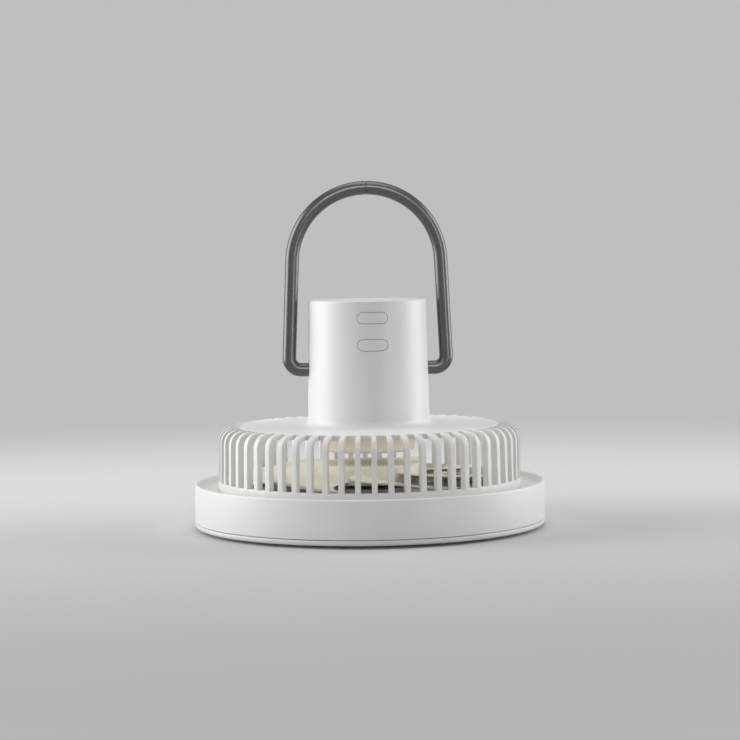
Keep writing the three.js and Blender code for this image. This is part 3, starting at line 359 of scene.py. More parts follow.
def plastic(name, light, dark, gloss, grain_size=0.35 * mm, grain_depth=0.012 * mm):
    """Grained plastic: tone drifts between light and dark, gloss is its mean roughness."""
    material, tree, shader = principled(name)
    place = make_node(tree, "ShaderNodeTexCoord")["Object"]
    drift = noise(place, drift_scale, fine_detail)
    grain = noise(place, 1 / grain_size)
    roughness = gloss - gloss_drift / 2 + gloss_drift * drift + gloss_grain * grain
    wire(tree, tone(drift, light, dark), shader.inputs["Base Color"])
    wire(tree, roughness, shader.inputs["Roughness"])
    wire(tree, bump_of(grain, grain_depth, plastic_bump), shader.inputs["Normal"])
    return material


# Light tone, dark tone and mean roughness, then grain size and depth where they differ.
plastic_recipes = {
    "white_plastic": ((0.80, 0.80, 0.775), (0.765, 0.765, 0.74), 0.36),
    # cream_plastic, for impeller, fan bracket and grid frame inside the drum, is warmer and lighter
    # than the white housing: painted light, the warm light that comes through the thin white slats.
    "cream_plastic": ((0.85, 0.83, 0.75), (0.81, 0.79, 0.70), 0.42),
    # milky_plastic, for the lens inside the drum, carries the same warm, light tint as painted
    # light over its own milky colour.
    "milky_plastic": ((0.85, 0.81, 0.71), (0.80, 0.76, 0.65), 0.30, 0.8 * mm),
    "black_plastic": ((0.030, 0.030, 0.034), (0.020, 0.020, 0.022), 0.5),
    "cell_wrap": ((0.06, 0.17, 0.35), (0.045, 0.14, 0.30), 0.34, 2.0 * mm),
    "rubber": ((0.045, 0.045, 0.047), (0.03, 0.03, 0.032), 0.82, 0.25 * mm, 0.03 * mm),
    "led_resin": ((0.70, 0.72, 0.80), (0.62, 0.66, 0.76), 0.2, 1.2 * mm),
}
finishes = {name: plastic(name, *recipe) for name, recipe in plastic_recipes.items()}
print("plastics", len(finishes))

# %% [markdown]
# The metals differ in how they were worked: the bail is blasted and then coated satin, steel keeps
# fine turning marks, bearing bronze is porous, copper wire shows its turns and a ferrite magnet is
# dull. One recipe makes a metal with a grain that its scales can draw out along one direction.

# %% Metal finishes
cloud_scale = 60.0
cloud_gloss = 0.06
grain_gloss = 0.06
gloss_offset = 0.05
metal_bump = 0.4


def metal(name, light, dark, gloss, grain_scale, grain_depth):
    """Metal whose grain is stretched by three scales along X, Y and Z."""
    material, tree, shader = principled(name)
    place = make_node(tree, "ShaderNodeTexCoord")["Object"]
    drawn = make_node(
        tree, "ShaderNodeVectorMath", {"operation": "MULTIPLY"}, {0: place, 1: grain_scale}
    )
    grain = noise(drawn, 1.0, fine_detail)
    cloud = noise(place, cloud_scale)
    roughness = gloss - gloss_offset + cloud_gloss * cloud + grain_gloss * grain
    wire(tree, tone(cloud, light, dark), shader.inputs["Base Color"])
    wire(tree, roughness, shader.inputs["Roughness"])
    wire(tree, bump_of(grain, grain_depth, metal_bump), shader.inputs["Normal"])
    shader.inputs["Metallic"].default_value = 1.0
    return material


even_grain = (3000, 3000, 3000)
turned_grain = (600, 600, 6000)
wound_grain = (400, 400, 5000)
# Light tone, dark tone, mean roughness, grain scales and grain depth.
metal_recipes = {
    "satin_metal": ((0.13, 0.13, 0.133), (0.115, 0.115, 0.118), 0.30, even_grain, 0.004 * mm),
    "steel": ((0.56, 0.56, 0.57), (0.50, 0.50, 0.51), 0.3, turned_grain, 0.01 * mm),
    "bronze": ((0.44, 0.30, 0.13), (0.36, 0.23, 0.10), 0.45, even_grain, 0.03 * mm),
    "copper_wire": ((0.26, 0.12, 0.06), (0.17, 0.075, 0.04), 0.42, wound_grain, 0.12 * mm),
    "ferrite": ((0.09, 0.09, 0.095), (0.06, 0.06, 0.065), 0.55, even_grain, 0.02 * mm),
}
finishes.update((name, metal(name, *recipe)) for name, recipe in metal_recipes.items())
print("metals", len(metal_recipes))

# %% [markdown]
# A circuit board shows tracks through its green lacquer. They could be drawn one by one, but a
# grid of cells whose edges stand up a little, seen through lacquer, reads the same at this size.

# %% Board finish
cell_scale = 420.0
cell_disorder = 0.35
track_edge = 0.08
lacquer_edge = 0.14
lacquer_green = (0.045, 0.065, 0.035)
track_green = (0.09, 0.13, 0.075)
lacquer_gloss = 0.42
track_gloss = 0.1
track_depth = 0.03 * mm
track_bump = 0.6


def board(name):
    """Green lacquer over tracks that run along the edges of cells."""
    material, tree, shader = principled(name)
    place = make_node(tree, "ShaderNodeTexCoord")["Object"]
    cells = make_node(
        tree,
        "ShaderNodeTexVoronoi",
        {"feature": "DISTANCE_TO_EDGE", "distance": "EUCLIDEAN"},
        {"Vector": place, "Scale": cell_scale, "Randomness": cell_disorder},
        "Distance",
    )
    track = make_node(
        tree,
        "ShaderNodeMapRange",
        {"interpolation_type": "SMOOTHSTEP"},
        {
            "Value": cells,
            "From Min": track_edge,
            "From Max": lacquer_edge,
            "To Min": 1.0,
            "To Max": 0.0,
        },
    )
    wire(tree, tone(track, lacquer_green, track_green), shader.inputs["Base Color"])
    wire(tree, lacquer_gloss - track_gloss * track, shader.inputs["Roughness"])
    wire(tree, bump_of(track, track_depth, track_bump), shader.inputs["Normal"])
    return material


finishes["board_green"] = board("board_green")
print("finishes", len(finishes))

# %% [markdown]
# Most pieces are turned: an outline in radius and height, spun round the axis. Real mouldings have
# no sharp corners, so an outline is written as its corners, each with the round that the mould has
# there, and a helper puts in the arcs.

# %% Turned shapes
turn_steps = 180
on_axis = 1e-9


def rounded(corners, steps=5, closed=True):
    """Corners of (radius, level, round) as points, with an arc wherever the round isn't 0."""
    points = []
    count = len(corners)
    for i, (x, y, bend) in enumerate(corners):
        here = Vector((x, y))
        if not bend or (not closed and i in (0, count - 1)):
            points.append((x, y))
            continue
        before = (Vector(corners[i - 1][:2]) - here).normalized()
        after = (Vector(corners[(i + 1) % count][:2]) - here).normalized()
        half = before.angle(after) / 2
        centre = here + (before + after).normalized() * (bend / math.sin(half))
        start = here + before * (bend / math.tan(half)) - centre
        end = here + after * (bend / math.tan(half)) - centre
        sweep = math.atan2(start.x * end.y - start.y * end.x, start.dot(end))
        for step in range(steps + 1):
            angle = sweep * step / steps
            x_turned = start.x * math.cos(angle) - start.y * math.sin(angle)
            y_turned = start.x * math.sin(angle) + start.y * math.cos(angle)
            points.append((centre.x + x_turned, centre.y + y_turned))
    return points


def spin(outline, steps=turn_steps, closed=True):
    """Vertices and faces of an outline turned round Z. A point on the axis is one vertex."""
    vertices, rings, faces = [], [], []
    for radius, level in outline:
        if radius < on_axis:
            rings.append([len(vertices)] * steps)
            vertices.append((0, 0, level))
            continue
        rings.append(list(range(len(vertices), len(vertices) + steps)))
        for step in range(steps):
            angle = full_turn * step / steps
            vertices.append((radius * math.cos(angle), radius * math.sin(angle), level))
    pairs = list(zip(rings, rings[1:]))
    if closed:
        pairs.append((rings[-1], rings[0]))
    for lower, upper in pairs:
        for step in range(steps):
            ahead = (step + 1) % steps
            face = [lower[step], lower[ahead], upper[ahead], upper[step]]
            face = [v for i, v in enumerate(face) if v not in face[:i]]
            if len(face) > 2:
                faces.append(face)
    return vertices, faces


test_corner = rounded([(0, 0, 0), (1, 0, 0.2), (1, 1, 0)], closed=False)
print("a rounded corner has", len(test_corner) - 2, "points")

# %% [markdown]
# Every piece ends as a plain mesh on a body of the construction. The same few steps lead there
# each time: build it, weld doubles and face it outwards, shade it smooth up to its creases, apply
# its modifiers, and at last give it its finish and hide the nodes it stands for.

# %% From mesh to dressed piece
weld_gap = 0.002 * mm
crease_angle = math.radians(34)


def build(name, vertices, faces, tidy=True):
    """A mesh object from vertices and faces, with doubles merged and faces turned outwards."""
    data = bpy.data.meshes.new(name)
    data.from_pydata([tuple(v) for v in vertices], [], faces)
    thing = bpy.data.objects.new(name, data)
    bpy.context.scene.collection.objects.link(thing)
    if tidy:
        face_outwards(thing)
    return thing


def face_outwards(thing):
    """Welds doubles, drops slivers and turns the faces outwards."""
    shape = bmesh.new()
    shape.from_mesh(thing.data)
    bmesh.ops.remove_doubles(shape, verts=shape.verts, dist=weld_gap)
    bmesh.ops.dissolve_degenerate(shape, edges=shape.edges, dist=weld_gap)
    bmesh.ops.recalc_face_normals(shape, faces=shape.faces)
    shape.to_mesh(thing.data)
    shape.free()


def smooth(thing):
    """Smooth shading, with edges past the crease angle kept sharp."""
    for polygon in thing.data.polygons:
        polygon.use_smooth = True
    thing.data.set_sharp_from_angle(angle=crease_angle)
    return thing


def turned(name, corners, steps=turn_steps, arcs=5):
    """A solid turned from rounded corners."""
    return build(name, *spin(rounded(corners, arcs), steps))


def ring_faces(rows, count, capped=False):
    """Faces between closed rings of count points each that lie one after another."""
    faces = []
    for row in range(rows - 1):
        here, there = row * count, (row + 1) * count
        for i in range(count):
            ahead = (i + 1) % count
            faces.append([here + i, here + ahead, there + ahead, there + i])
    if capped:
        faces.append(list(range(count)))
        faces.append(list(range((rows - 1) * count, rows * count)))
    return faces


def settle(thing):
    """Turns what the modifiers make of an object into its plain mesh."""
    graph = bpy.context.evaluated_depsgraph_get()
    made = bpy.data.meshes.new_from_object(thing.evaluated_get(graph))
    thing.modifiers.clear()
    thing.data = made
    made.name = thing.name
    return thing


def dress(thing, body, slot_name, *nodes):
    """Gives a finished piece its material, its body and its slot, and hides the nodes it stands
    for.
    """
    thing.data.materials.clear()
    thing.data.materials.append(finishes[slot_name])
    for polygon in thing.data.polygons:
        polygon.material_index = 0
    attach(thing, body)
    if nodes:
        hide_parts(*nodes)
    print(thing.name, len(thing.data.polygons), "faces")
    return thing


print("creases past", round(math.degrees(crease_angle)), "degrees stay sharp")

# %% [markdown]
# Every Geometry Nodes tree here has the same start and end: named inputs, and at the end real
# copies with their material. A modifier knows its inputs only by hidden identifiers, so a helper
# finds each one by its label and sets it by its identifier.

# %% Helpers for Geometry Nodes
def geometry_tree(name, inputs):
    """An empty Geometry Nodes tree with a geometry input and the named inputs given."""
    tree = bpy.data.node_groups.new(name, "GeometryNodeTree")
    tree.interface.new_socket("Geometry", in_out="INPUT", socket_type="NodeSocketGeometry")
    for label, kind in inputs:
        tree.interface.new_socket(label, in_out="INPUT", socket_type=kind)
    tree.interface.new_socket("Geometry", in_out="OUTPUT", socket_type="NodeSocketGeometry")
    return tree, make_node(tree, "NodeGroupInput")


def close_tree(tree, result, material):
    """Realizes what the tree made, gives it its material and leads it out."""
    real = make_node(tree, "GeometryNodeRealizeInstances", values={"Geometry": result})
    painted = make_node(
        tree, "GeometryNodeSetMaterial", values={"Geometry": real, "Material": material}
    )
    sink = tree.nodes.new("NodeGroupOutput")
    tree.links.new(painted.socket, sink.inputs[0])


def set_inputs(modifier, values):
    """Sets a modifier's inputs by their labels, through the sockets' identifiers."""
    for item in modifier.node_group.interface.items_tree:
        if item.in_out == "INPUT" and item.name in values:
            modifier[item.identifier] = values[item.name]


# %% [markdown]
# A row of slats, vents, blades, struts or feet is one copy repeated round the axis. Python could
# copy the vertices, but a Geometry Nodes tree does it with named inputs that can be changed by
# hand: it makes one point per copy, sets the copy on it, turns it, and joins where neighbours
# touch.

# %% Repeat round the axis
def ring_points(tree, count, first):
    """One point per copy and the turn of each, from the first angle on."""
    line = make_node(tree, "GeometryNodeMeshLine", values={"Count": count, "Offset": (0, 0, 0)})
    index = make_node(tree, "GeometryNodeInputIndex")
    angle = first + index * full_turn / count
    turn = make_node(tree, "ShaderNodeCombineXYZ", values={"Z": angle})
    return line, turn


def make_repeat_tree():
    """Copies of the object's own mesh round Z, merged where they touch."""
    tree, group_input = geometry_tree(
        "repeat_round_axis",
        [
            ("Count", "NodeSocketInt"),
            ("First Angle", "NodeSocketFloat"),
            ("Merge", "NodeSocketFloat"),
            ("Material", "NodeSocketMaterial"),
        ],
    )
    points, turn = ring_points(tree, group_input["Count"], group_input["First Angle"])
    copies = make_node(
        tree,
        "GeometryNodeInstanceOnPoints",
        values={"Points": points, "Instance": group_input["Geometry"], "Rotation": turn},
    )
    real = make_node(tree, "GeometryNodeRealizeInstances", values={"Geometry": copies})
    joined = make_node(
        tree,
        "GeometryNodeMergeByDistance",
        values={"Geometry": real, "Distance": group_input["Merge"]},
    )
    close_tree(tree, joined, group_input["Material"])
    return tree


repeat_tree = make_repeat_tree()
merge_gap = 0.01 * mm
print("repeat tree", len(repeat_tree.nodes), "nodes")


def repeat(thing, count, first, slot_name):
    """Repeats an object round Z and leaves the plain mesh."""
    modifier = thing.modifiers.new("repeat", "NODES")
    modifier.node_group = repeat_tree
    set_inputs(
        modifier,
        {"Count": count, "First Angle": first, "Merge": merge_gap, "Material": finishes[slot_name]},
    )
    return settle(thing)


# %% [markdown]
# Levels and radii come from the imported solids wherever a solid's box gives them, so the dressed
# pieces stay on what they replace. What no box gives is a wall, a gap or one of the rounds that
# the toolmaker uses again and again, written once here.

# %% Sizes from the construction
def low(node):
    """Lowest corner of a solid's box."""
    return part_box(node)[0]


def high(node):
    """Highest corner of a solid's box."""
    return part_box(node)[1]


seat_gap = 0.3 * mm
needle_round = 0.1 * mm
hair_round = 0.15 * mm
crisp_round = 0.2 * mm
parting_round = 0.25 * mm
usual_round = 0.3 * mm
lip_round = 0.4 * mm
soft_round = 0.5 * mm
broad_round = 0.8 * mm

drum_radius = high("housing_shell").x
body_top = high("housing_shell").z
spigot_bottom = low("housing_shell").z
ring_radius = high("base_ring").x
ring_bottom = low("base_ring").z
rim_top = high("base_ring").z
ring_wall = 1.8 * mm
ledge_depth = 3.4 * mm
sill_height = 1.5 * mm
ledge_top = rim_top - ledge_depth
sill_top = rim_top + sill_height
drum_step = 1.3 * mm
drum_taper = 0.45 * mm
slat_depth = 3.5 * mm
shoulder_radius = 7 * mm
ceiling_thickness = 2.5 * mm
lens_spigot_height = 3.7 * mm
lens_top = high("lamp_lens").z - lens_spigot_height
ceiling_under = lens_top + seat_gap
drum_top = ceiling_under + ceiling_thickness
body_wall = 2.2 * mm
cap_radius = high("top_cap").x
rim_width = 1.24 * mm
body_top_radius = cap_radius + seat_gap + rim_width
body_taper = 1 * mm
neck_round = 4 * mm
floor_under = high("uv_led_board").z + seat_gap
floor_thickness = 2 * mm
floor_top = floor_under + floor_thickness
wire_hole_radius = 6 * mm


def body_radius_at(level):
    """Outer radius of the tapered cylinder."""
    return body_top_radius + body_taper * (body_top - level) / (body_top - drum_top - neck_round)


def bore_radius_at(level):
    """Inner radius of the tapered cylinder."""
    return body_radius_at(level) - body_wall


print("drum", round(drum_radius / mm, 2), "ring", round(ring_radius / mm, 2))
print("drum top", round(drum_top / mm, 2), "cylinder", round(body_top_radius / mm, 2))

# %% [markdown]
# The slatted drum is the heart of the object: sixty slats that run up from a sill and over the
# rounded shoulder into the flat top. Cutting sixty slots out of a turned shell leaves ragged faces
# along every edge. So one sixtieth is built as a clean tile, from the middle of one slot to the
# middle of the next, and the tree above repeats it until the ring closes.

# %% Rows of a slat
slat_count = 60
slot_width = 5.35 * mm
slot_reach = 11.5 * mm
slot_end_radius = drum_radius - slot_reach
plate_inner_radius = 60 * mm
plate_divisions = 6
upright_rows = 5
shoulder_rows = 12
drum_inner = drum_radius - slat_depth
half_pitch = math.pi / slat_count
shoulder_centre = (drum_radius - drum_taper - shoulder_radius, drum_top - shoulder_radius)


def slat_rows():
    """Outer and inner (radius, level) of the slat, row by row from the sill to the slot's end."""
    centre_radius, centre_level = shoulder_centre
    foot_level = ledge_top + seat_gap
    rows = []
    for row in range(upright_rows):
        level = sill_top + (centre_level - sill_top) * row / upright_rows
        drawn_in = drum_taper * (level - foot_level) / (centre_level - foot_level)
        rows.append(((drum_radius - drawn_in, level), (drum_inner - drawn_in, level)))
    inner_reach = shoulder_radius - slat_depth
    inner_rise = shoulder_radius - ceiling_thickness
    for row in range(shoulder_rows + 1):
        angle = quarter_turn * row / shoulder_rows
        out, up = math.cos(angle), math.sin(angle)
        rows.append((
            (centre_radius + shoulder_radius * out, centre_level + shoulder_radius * up),
            (centre_radius + inner_reach * out, centre_level + inner_rise * up),
        ))
    rows.append(((slot_end_radius, drum_top), (slot_end_radius, ceiling_under)))
    return rows


print("a slat has", len(slat_rows()), "rows, a slot is", round(slot_width / mm, 2), "mm wide")

# %% [markdown]
# The tile is made of lines of points that run across it, joined by strips of faces. Lines on the
# slat have five points, and lines that go right across have one more on each edge, so every strip
# meets its neighbour point for point and nothing has to be cut.

# %% One sixtieth of the drum
def polar(radius, angle, level):
    """A place from its radius, its angle round Z and its level."""
    return (radius * math.cos(angle), radius * math.sin(angle), level)


def slat_edge(radius):
    """Half the angle that a slat fills at a radius, beside slots of one constant width."""
    return half_pitch - math.asin(slot_width / 2 / radius)


def drum_tile():
    """The mesh of one sixtieth: slat, sill, spigot and the plates to the cylinder."""
    vertices, faces = [], []
    slat_shares = (-1, -0.5, 0, 0.5, 1)

    def strip(points):
        first = len(vertices)
        vertices.extend(points)
        return list(range(first, len(vertices)))

    def fill(upper, lower):
        for i in range(len(upper) - 1):
            faces.append([upper[i], upper[i + 1], lower[i + 1], lower[i]])

    def slat_line(radius, level):
        return strip([polar(radius, slat_edge(radius) * share, level) for share in slat_shares])

    def whole_line(radius, level, edge_radius=None):
        edge = slat_edge(edge_radius or radius)
        angles = [-half_pitch, *[edge * share for share in slat_shares], half_pitch]
        return strip([polar(radius, angle, level) for angle in angles])

    def even_line(radius, level):
        shares = [2 * i / plate_divisions - 1 for i in range(plate_divisions + 1)]
        return strip([polar(radius, half_pitch * share, level) for share in shares])

    rows = slat_rows()
    outer = [slat_line(*point) for point, _ in rows]
    inner = [slat_line(*point) for _, point in rows]
    for lines in (outer, inner):
        for lower, upper in zip(lines, lines[1:]):
            fill(upper, lower)
    for side in (0, -1):
        for row in range(len(rows) - 1):
            under = [outer[row][side], inner[row][side]]
            faces.append([*under, inner[row + 1][side], outer[row + 1][side]])
    (sill_outer, _), (sill_inner, _) = rows[0]
    top_edge, under_edge = rows[-1]
    top_line, under_line = whole_line(*top_edge), whole_line(*under_edge)
    sill_line, inside_line = whole_line(sill_outer, sill_top), whole_line(sill_inner, sill_top)
    for upper, lower in ((top_line, under_line), (sill_line, inside_line)):
        for i in (0, len(upper) - 2):
            faces.append([upper[i], upper[i + 1], lower[i + 1], lower[i]])
    fill(even_line(plate_inner_radius, drum_top), top_line)
    fill(under_line, even_line(plate_inner_radius, ceiling_under))
    spigot = drum_radius - drum_step
    path = [
        (drum_radius, ledge_top + seat_gap),
        (spigot, ledge_top + seat_gap),
        (spigot, spigot_bottom),
        (drum_inner, spigot_bottom),
    ]
    lines = [sill_line, *[whole_line(radius, level, sill_outer) for radius, level in path]]
    for upper, lower in zip(lines, lines[1:]):
        fill(upper, lower)
    bottom_inner = whole_line(drum_inner, spigot_bottom, sill_inner)
    fill(bottom_inner, inside_line)
    fill(lines[-1], bottom_inner)
    return build("housing_shell_fine", vertices, faces, tidy=False)


# %% [markdown]
# The cylinder, its neck, its floor and its rim are one turned skin that starts and ends on the
# circles where the tile's top plate stops. The wall leans in a little towards the top, as a
# moulding must to leave its mould.

# %% Outline of the cylinder
cap_edge = 1.9 * mm
cap_under = body_top - cap_edge
cap_seat_radius = cap_radius + seat_gap
top_round = 0.8 * mm
cylinder_levels = 8
neck_steps = 8


def cylinder_outline():
    """Neck, wall, rim and inside of the cylinder, from plate to plate."""
    bore_top = bore_radius_at(body_top)
    lamp_bore = bore_radius_at(floor_under)
    lamp_mouth = lamp_bore + body_wall / 2
    step_level = drum_top - ceiling_thickness / 2
    neck_top = drum_top + neck_round
    base_radius = body_radius_at(neck_top)
    neck = []
    for step in range(neck_steps + 1):
        angle = quarter_turn * step / neck_steps
        neck.append((
            base_radius + neck_round - neck_round * math.sin(angle),
            neck_top - neck_round * math.cos(angle),
        ))
    wall_levels = [
        neck_top + (body_top - top_round - neck_top) * i / cylinder_levels
        for i in range(1, cylinder_levels)
    ]
    rim = rounded(
        [
            (base_radius, neck_top, 0),
            (body_top_radius, body_top, top_round),
            (cap_seat_radius, body_top, crisp_round),
            (cap_seat_radius, cap_under - seat_gap, 0),
        ],
        closed=False,
    )
    inside = [
        (bore_top, cap_under - seat_gap),
        (bore_radius_at(floor_top), floor_top),
        (wire_hole_radius, floor_top),
        (wire_hole_radius, floor_under),
        (lamp_bore, floor_under),
        (lamp_bore, step_level),
        (lamp_mouth, step_level),
        (lamp_mouth, ceiling_under),
        (plate_inner_radius, ceiling_under),
    ]
    walls = [(body_radius_at(level), level) for level in wall_levels]
    return [(plate_inner_radius, drum_top), *neck, *walls, *rim[1:], *inside]


print("outline of", len(cylinder_outline()), "points")

# %% [markdown]
# Drum and cylinder could be joined by a Boolean, but it would leave long thin faces round the
# seam. Both have 360 steps there, so their points weld into one body, and a small bevel then
# rounds every mould edge at once.

# %% Drum and cylinder in one skin
def join_meshes(name, parts):
    """One object that holds the faces of several, which are then removed."""
    vertices, faces = [], []
    for part in parts:
        first = len(vertices)
        vertices.extend(tuple(v.co) for v in part.data.vertices)
        faces.extend([[first + v for v in polygon.vertices] for polygon in part.data.polygons])
        bpy.data.objects.remove(part)
    return build(name, vertices, faces)


bevel_angle = math.radians(50)
drum = repeat(drum_tile(), slat_count, -quarter_turn + half_pitch, "white_plastic")
skin_steps = plate_divisions * slat_count
skin = build("cylinder_skin", *spin(cylinder_outline(), skin_steps, closed=False), tidy=False)
housing = join_meshes("housing_shell_fine", [drum, skin])
edges = housing.modifiers.new("mould_rounds", "BEVEL")
edges.width = usual_round
edges.segments = 2
edges.limit_method = "ANGLE"
edges.angle_limit = bevel_angle
settle(housing)
print("housing skin", len(housing.data.polygons), "faces")

# %% [markdown]
# Holes need cutters. A pill and a circle could each have their own mesh code, but both are only an
# outline pushed along a line, so one prism serves them, and one helper cuts, joins or intersects.

# %% Cutters and Booleans
pill_steps = 12
straight_steps = 8


def pill_outline(width, height):
    """Points round a pill, about its centre, also along its straight sides."""
    half, radius = (width - height) / 2, height / 2
    points = []
    for side, start in ((1, -quarter_turn), (-1, quarter_turn)):
        for step in range(pill_steps + 1):
            angle = start + math.pi * step / pill_steps
            points.append((side * half + radius * math.cos(angle), radius * math.sin(angle)))
        for step in range(1, straight_steps):
            points.append((side * half * (1 - 2 * step / straight_steps), side * radius))
    return points


def prism(name, outline, lay):
    """A closed prism: lay gives the two places of each outline point."""
    vertices = [lay(point, end) for end in (0, 1) for point in outline]
    return build(name, vertices, ring_faces(2, len(outline), capped=True))


def pill_bar(name, width, height, level, near, far):
    """A pill-shaped bar along Y."""
    return prism(
        name,
        pill_outline(width, height),
        lambda point, end: (point[0], far if end else near, level + point[1]),
    )


def round_bar(name, radius, start, end, steps=48):
    """A round bar between two points."""
    way = (Vector(end) - Vector(start)).normalized()
    turn = way.to_track_quat("Z", "Y")
    circle = [
        (radius * math.cos(full_turn * i / steps), radius * math.sin(full_turn * i / steps))
        for i in range(steps)
    ]

    def lay(point, share):
        return tuple(Vector(start).lerp(Vector(end), share) + turn @ Vector((*point, 0)))

    return prism(name, circle, lay)


def combine(thing, others, operation):
    """Cuts, joins or intersects a thing with others that are used up."""
    tool = join_meshes("tool", others) if len(others) > 1 else others[0]
    modifier = thing.modifiers.new(operation, "BOOLEAN")
    modifier.operation = operation
    modifier.solver = "EXACT"
    modifier.object = tool
    settle(thing)
    bpy.data.objects.remove(tool)
    return thing


print("a pill has", len(pill_outline(2, 1)), "points")

# %% [markdown]
# The buttons, the bail's ends and the charging plug need holes in the finished skin: pills for
# buttons and plug, round bores for the bail. All cutters are joined and taken out in one Boolean.

# %% Holes in the housing
button_flange = 1.5 * mm
button_gap = 0.18 * mm
button_depth = 1.2 * mm
overrun = 3 * mm
rod_radius = 3.5 * mm
button_levels = {
    name: (low(f"{name}_button").z + high(f"{name}_button").z) / 2 for name in ("power", "mode")
}
button_width = high("power_button").x - low("power_button").x - 2 * button_flange
button_height = high("power_button").z - low("power_button").z - 2 * button_flange
button_back = bore_radius_at(body_top) - seat_gap - button_depth
joint_of = {joint["name"]: joint for joint in frame["record"]["behaviour"]["joints"]}
pivot_level = joint_of["bail_swing"]["pos_m"][2]
socket_level = (low("usb_socket").z + high("usb_socket").z) / 2
socket_width = high("usb_socket").x - low("usb_socket").x
socket_height = high("usb_socket").z - low("usb_socket").z
outside = body_radius_at(drum_top) + overrun

cutters = [
    pill_bar(
        f"{name}_hole",
        button_width + 2 * button_gap,
        button_height + 2 * button_gap,
        level,
        -outside,
        -bore_radius_at(body_top) + overrun,
    )
    for name, level in button_levels.items()
]
for side in (-1, 1):
    inner = bore_radius_at(pivot_level) - overrun
    start, end = (side * inner, 0, pivot_level), (side * outside, 0, pivot_level)
    cutters.append(round_bar("pivot_hole", rod_radius + seat_gap, start, end))
cutters.append(
    pill_bar(
        "socket_hole",
        socket_width + 2 * seat_gap,
        socket_height + 2 * seat_gap,
        socket_level,
        bore_radius_at(socket_level) - overrun,
        outside,
    )
)
combine(housing, cutters, "DIFFERENCE")
smooth(housing)
dress(housing, "housing", "white_plastic", "housing_shell")

# %% [markdown]
# The base ring is one moulding: an outer wall with a full round rim, a ledge that the drum stands
# on, and a throat inside that takes the tray. Rings stacked on each other would show seams. One
# closed section turned round the axis has none, and it is right from below as well.

# %% Base ring
shelf_thickness = 2 * mm
shelf_width = 7 * mm
throat_wall = 1.8 * mm
throat_lift = 4.5 * mm
rim_round = 0.49 * ring_wall
shelf_top = low("grid_frame").z - seat_gap
shelf_under = shelf_top - shelf_thickness
ledge_under = ledge_top - shelf_thickness
throat_radius = drum_radius - drum_step + seat_gap
throat_outer = throat_radius + throat_wall
shelf_inner = throat_radius - shelf_width
throat_under = low("catch_tray").z + throat_lift
ring_inner = ring_radius - ring_wall

ring_corners = [
    (ring_radius, ring_bottom, parting_round),
    (ring_radius, rim_top, rim_round),
    (ring_inner, rim_top, rim_round),
    (ring_inner, ledge_top, broad_round),
    (throat_radius, ledge_top, usual_round),
    (throat_radius, shelf_top, usual_round),
    (shelf_inner, shelf_top, usual_round),
    (shelf_inner, shelf_under, usual_round),
    (throat_radius, shelf_under, usual_round),
    (throat_radius, throat_under, crisp_round),
    (throat_outer, throat_under, crisp_round),
    (throat_outer, ledge_under, soft_round),
    (ring_inner, ledge_under, soft_round),
    (ring_inner, ring_bottom, crisp_round),
]
base_ring = turned("base_ring_fine", ring_corners, 2 * turn_steps)
smooth(base_ring)
dress(base_ring, "housing", "white_plastic", "base_ring")

# %% [markdown]
# The tray closes the base from below: a floor with two rings of vents, a rounded outer edge that
# meets the ring in a fine parting line, and an upright wall inside. A tile like the drum's could
# carry the vents, but they are few and lie in a flat floor, where a Boolean cuts cleanly. So a
# short slot is repeated round the axis and taken out of the turned floor.

# %% Catch tray
tray_edge_round = 1.8 * mm
tray_floor = 2 * mm
tray_wall = 1.5 * mm
tray_under = low("catch_tray").z
tray_top = tray_under + tray_floor
lip_top = ring_bottom - seat_gap
tray_wall_top = high("catch_tray").z
tray_wall_outer = throat_radius - seat_gap
tray_wall_inner = tray_wall_outer - tray_wall
vent_width = 3.2 * mm
# Count of vents, then where they start and end as shares of the tray's inner radius.
vent_rows = ((8, 0.22, 0.46), (12, 0.52, 0.76))

tray_corners = [
    (0, tray_under, 0),
    (ring_radius, tray_under, tray_edge_round),
    (ring_radius, lip_top, parting_round),
    (ring_inner, lip_top, parting_round),
    (ring_inner, tray_top, usual_round),
    (tray_wall_outer, tray_top, usual_round),
    (tray_wall_outer, tray_wall_top, lip_round),
    (tray_wall_inner, tray_wall_top, lip_round),
    (tray_wall_inner, tray_top, broad_round),
    (0, tray_top, 0),
]
tray = turned("catch_tray_fine", tray_corners, 2 * turn_steps)


def radial_slot(inner_share, outer_share):
    """An upright cutter for one vent, along +X."""
    start, end = inner_share * tray_wall_inner, outer_share * tray_wall_inner
    outline = [((start + end) / 2 + x, y) for x, y in pill_outline(end - start, vent_width)]
    levels = (tray_under - overrun, tray_top + overrun)
    return prism("vent", outline, lambda point, end: (*point, levels[end]))


vents = [
    repeat(radial_slot(inner, outer), count, math.pi / count, "white_plastic")
    for count, inner, outer in vent_rows
]
combine(tray, vents, "DIFFERENCE")
smooth(tray)
dress(tray, "catch_tray", "white_plastic", "catch_tray")

# %% [markdown]
# Four soft feet are pressed into sockets under the tray. A plain disc would do from afar, but its
# sharp rim would catch no light. Each is a turned pad with a rounded edge, and the tree that
# repeats round the axis sets them on their circle.

# %% Rubber feet
foot_count = 4
foot_radius = 5 * mm
foot_round = 0.7 * mm
foot_steps = 48
foot_circle = 64 * mm
foot_top = high("rubber_foot_1").z
foot_corners = [
    (0, 0, 0),
    (foot_radius, 0, foot_round),
    (foot_radius, foot_top, crisp_round),
    (0, foot_top, 0),
]
foot_vertices, foot_faces = spin(rounded(foot_corners), foot_steps)
foot_vertices = [(x + foot_circle, y, z) for x, y, z in foot_vertices]
foot = build("rubber_feet_fine", foot_vertices, foot_faces)
feet = repeat(foot, foot_count, quarter_turn / 2, "rubber")
smooth(feet)
dress(feet, "catch_tray", "rubber", *[f"rubber_foot_{i}" for i in range(1, foot_count + 1)])

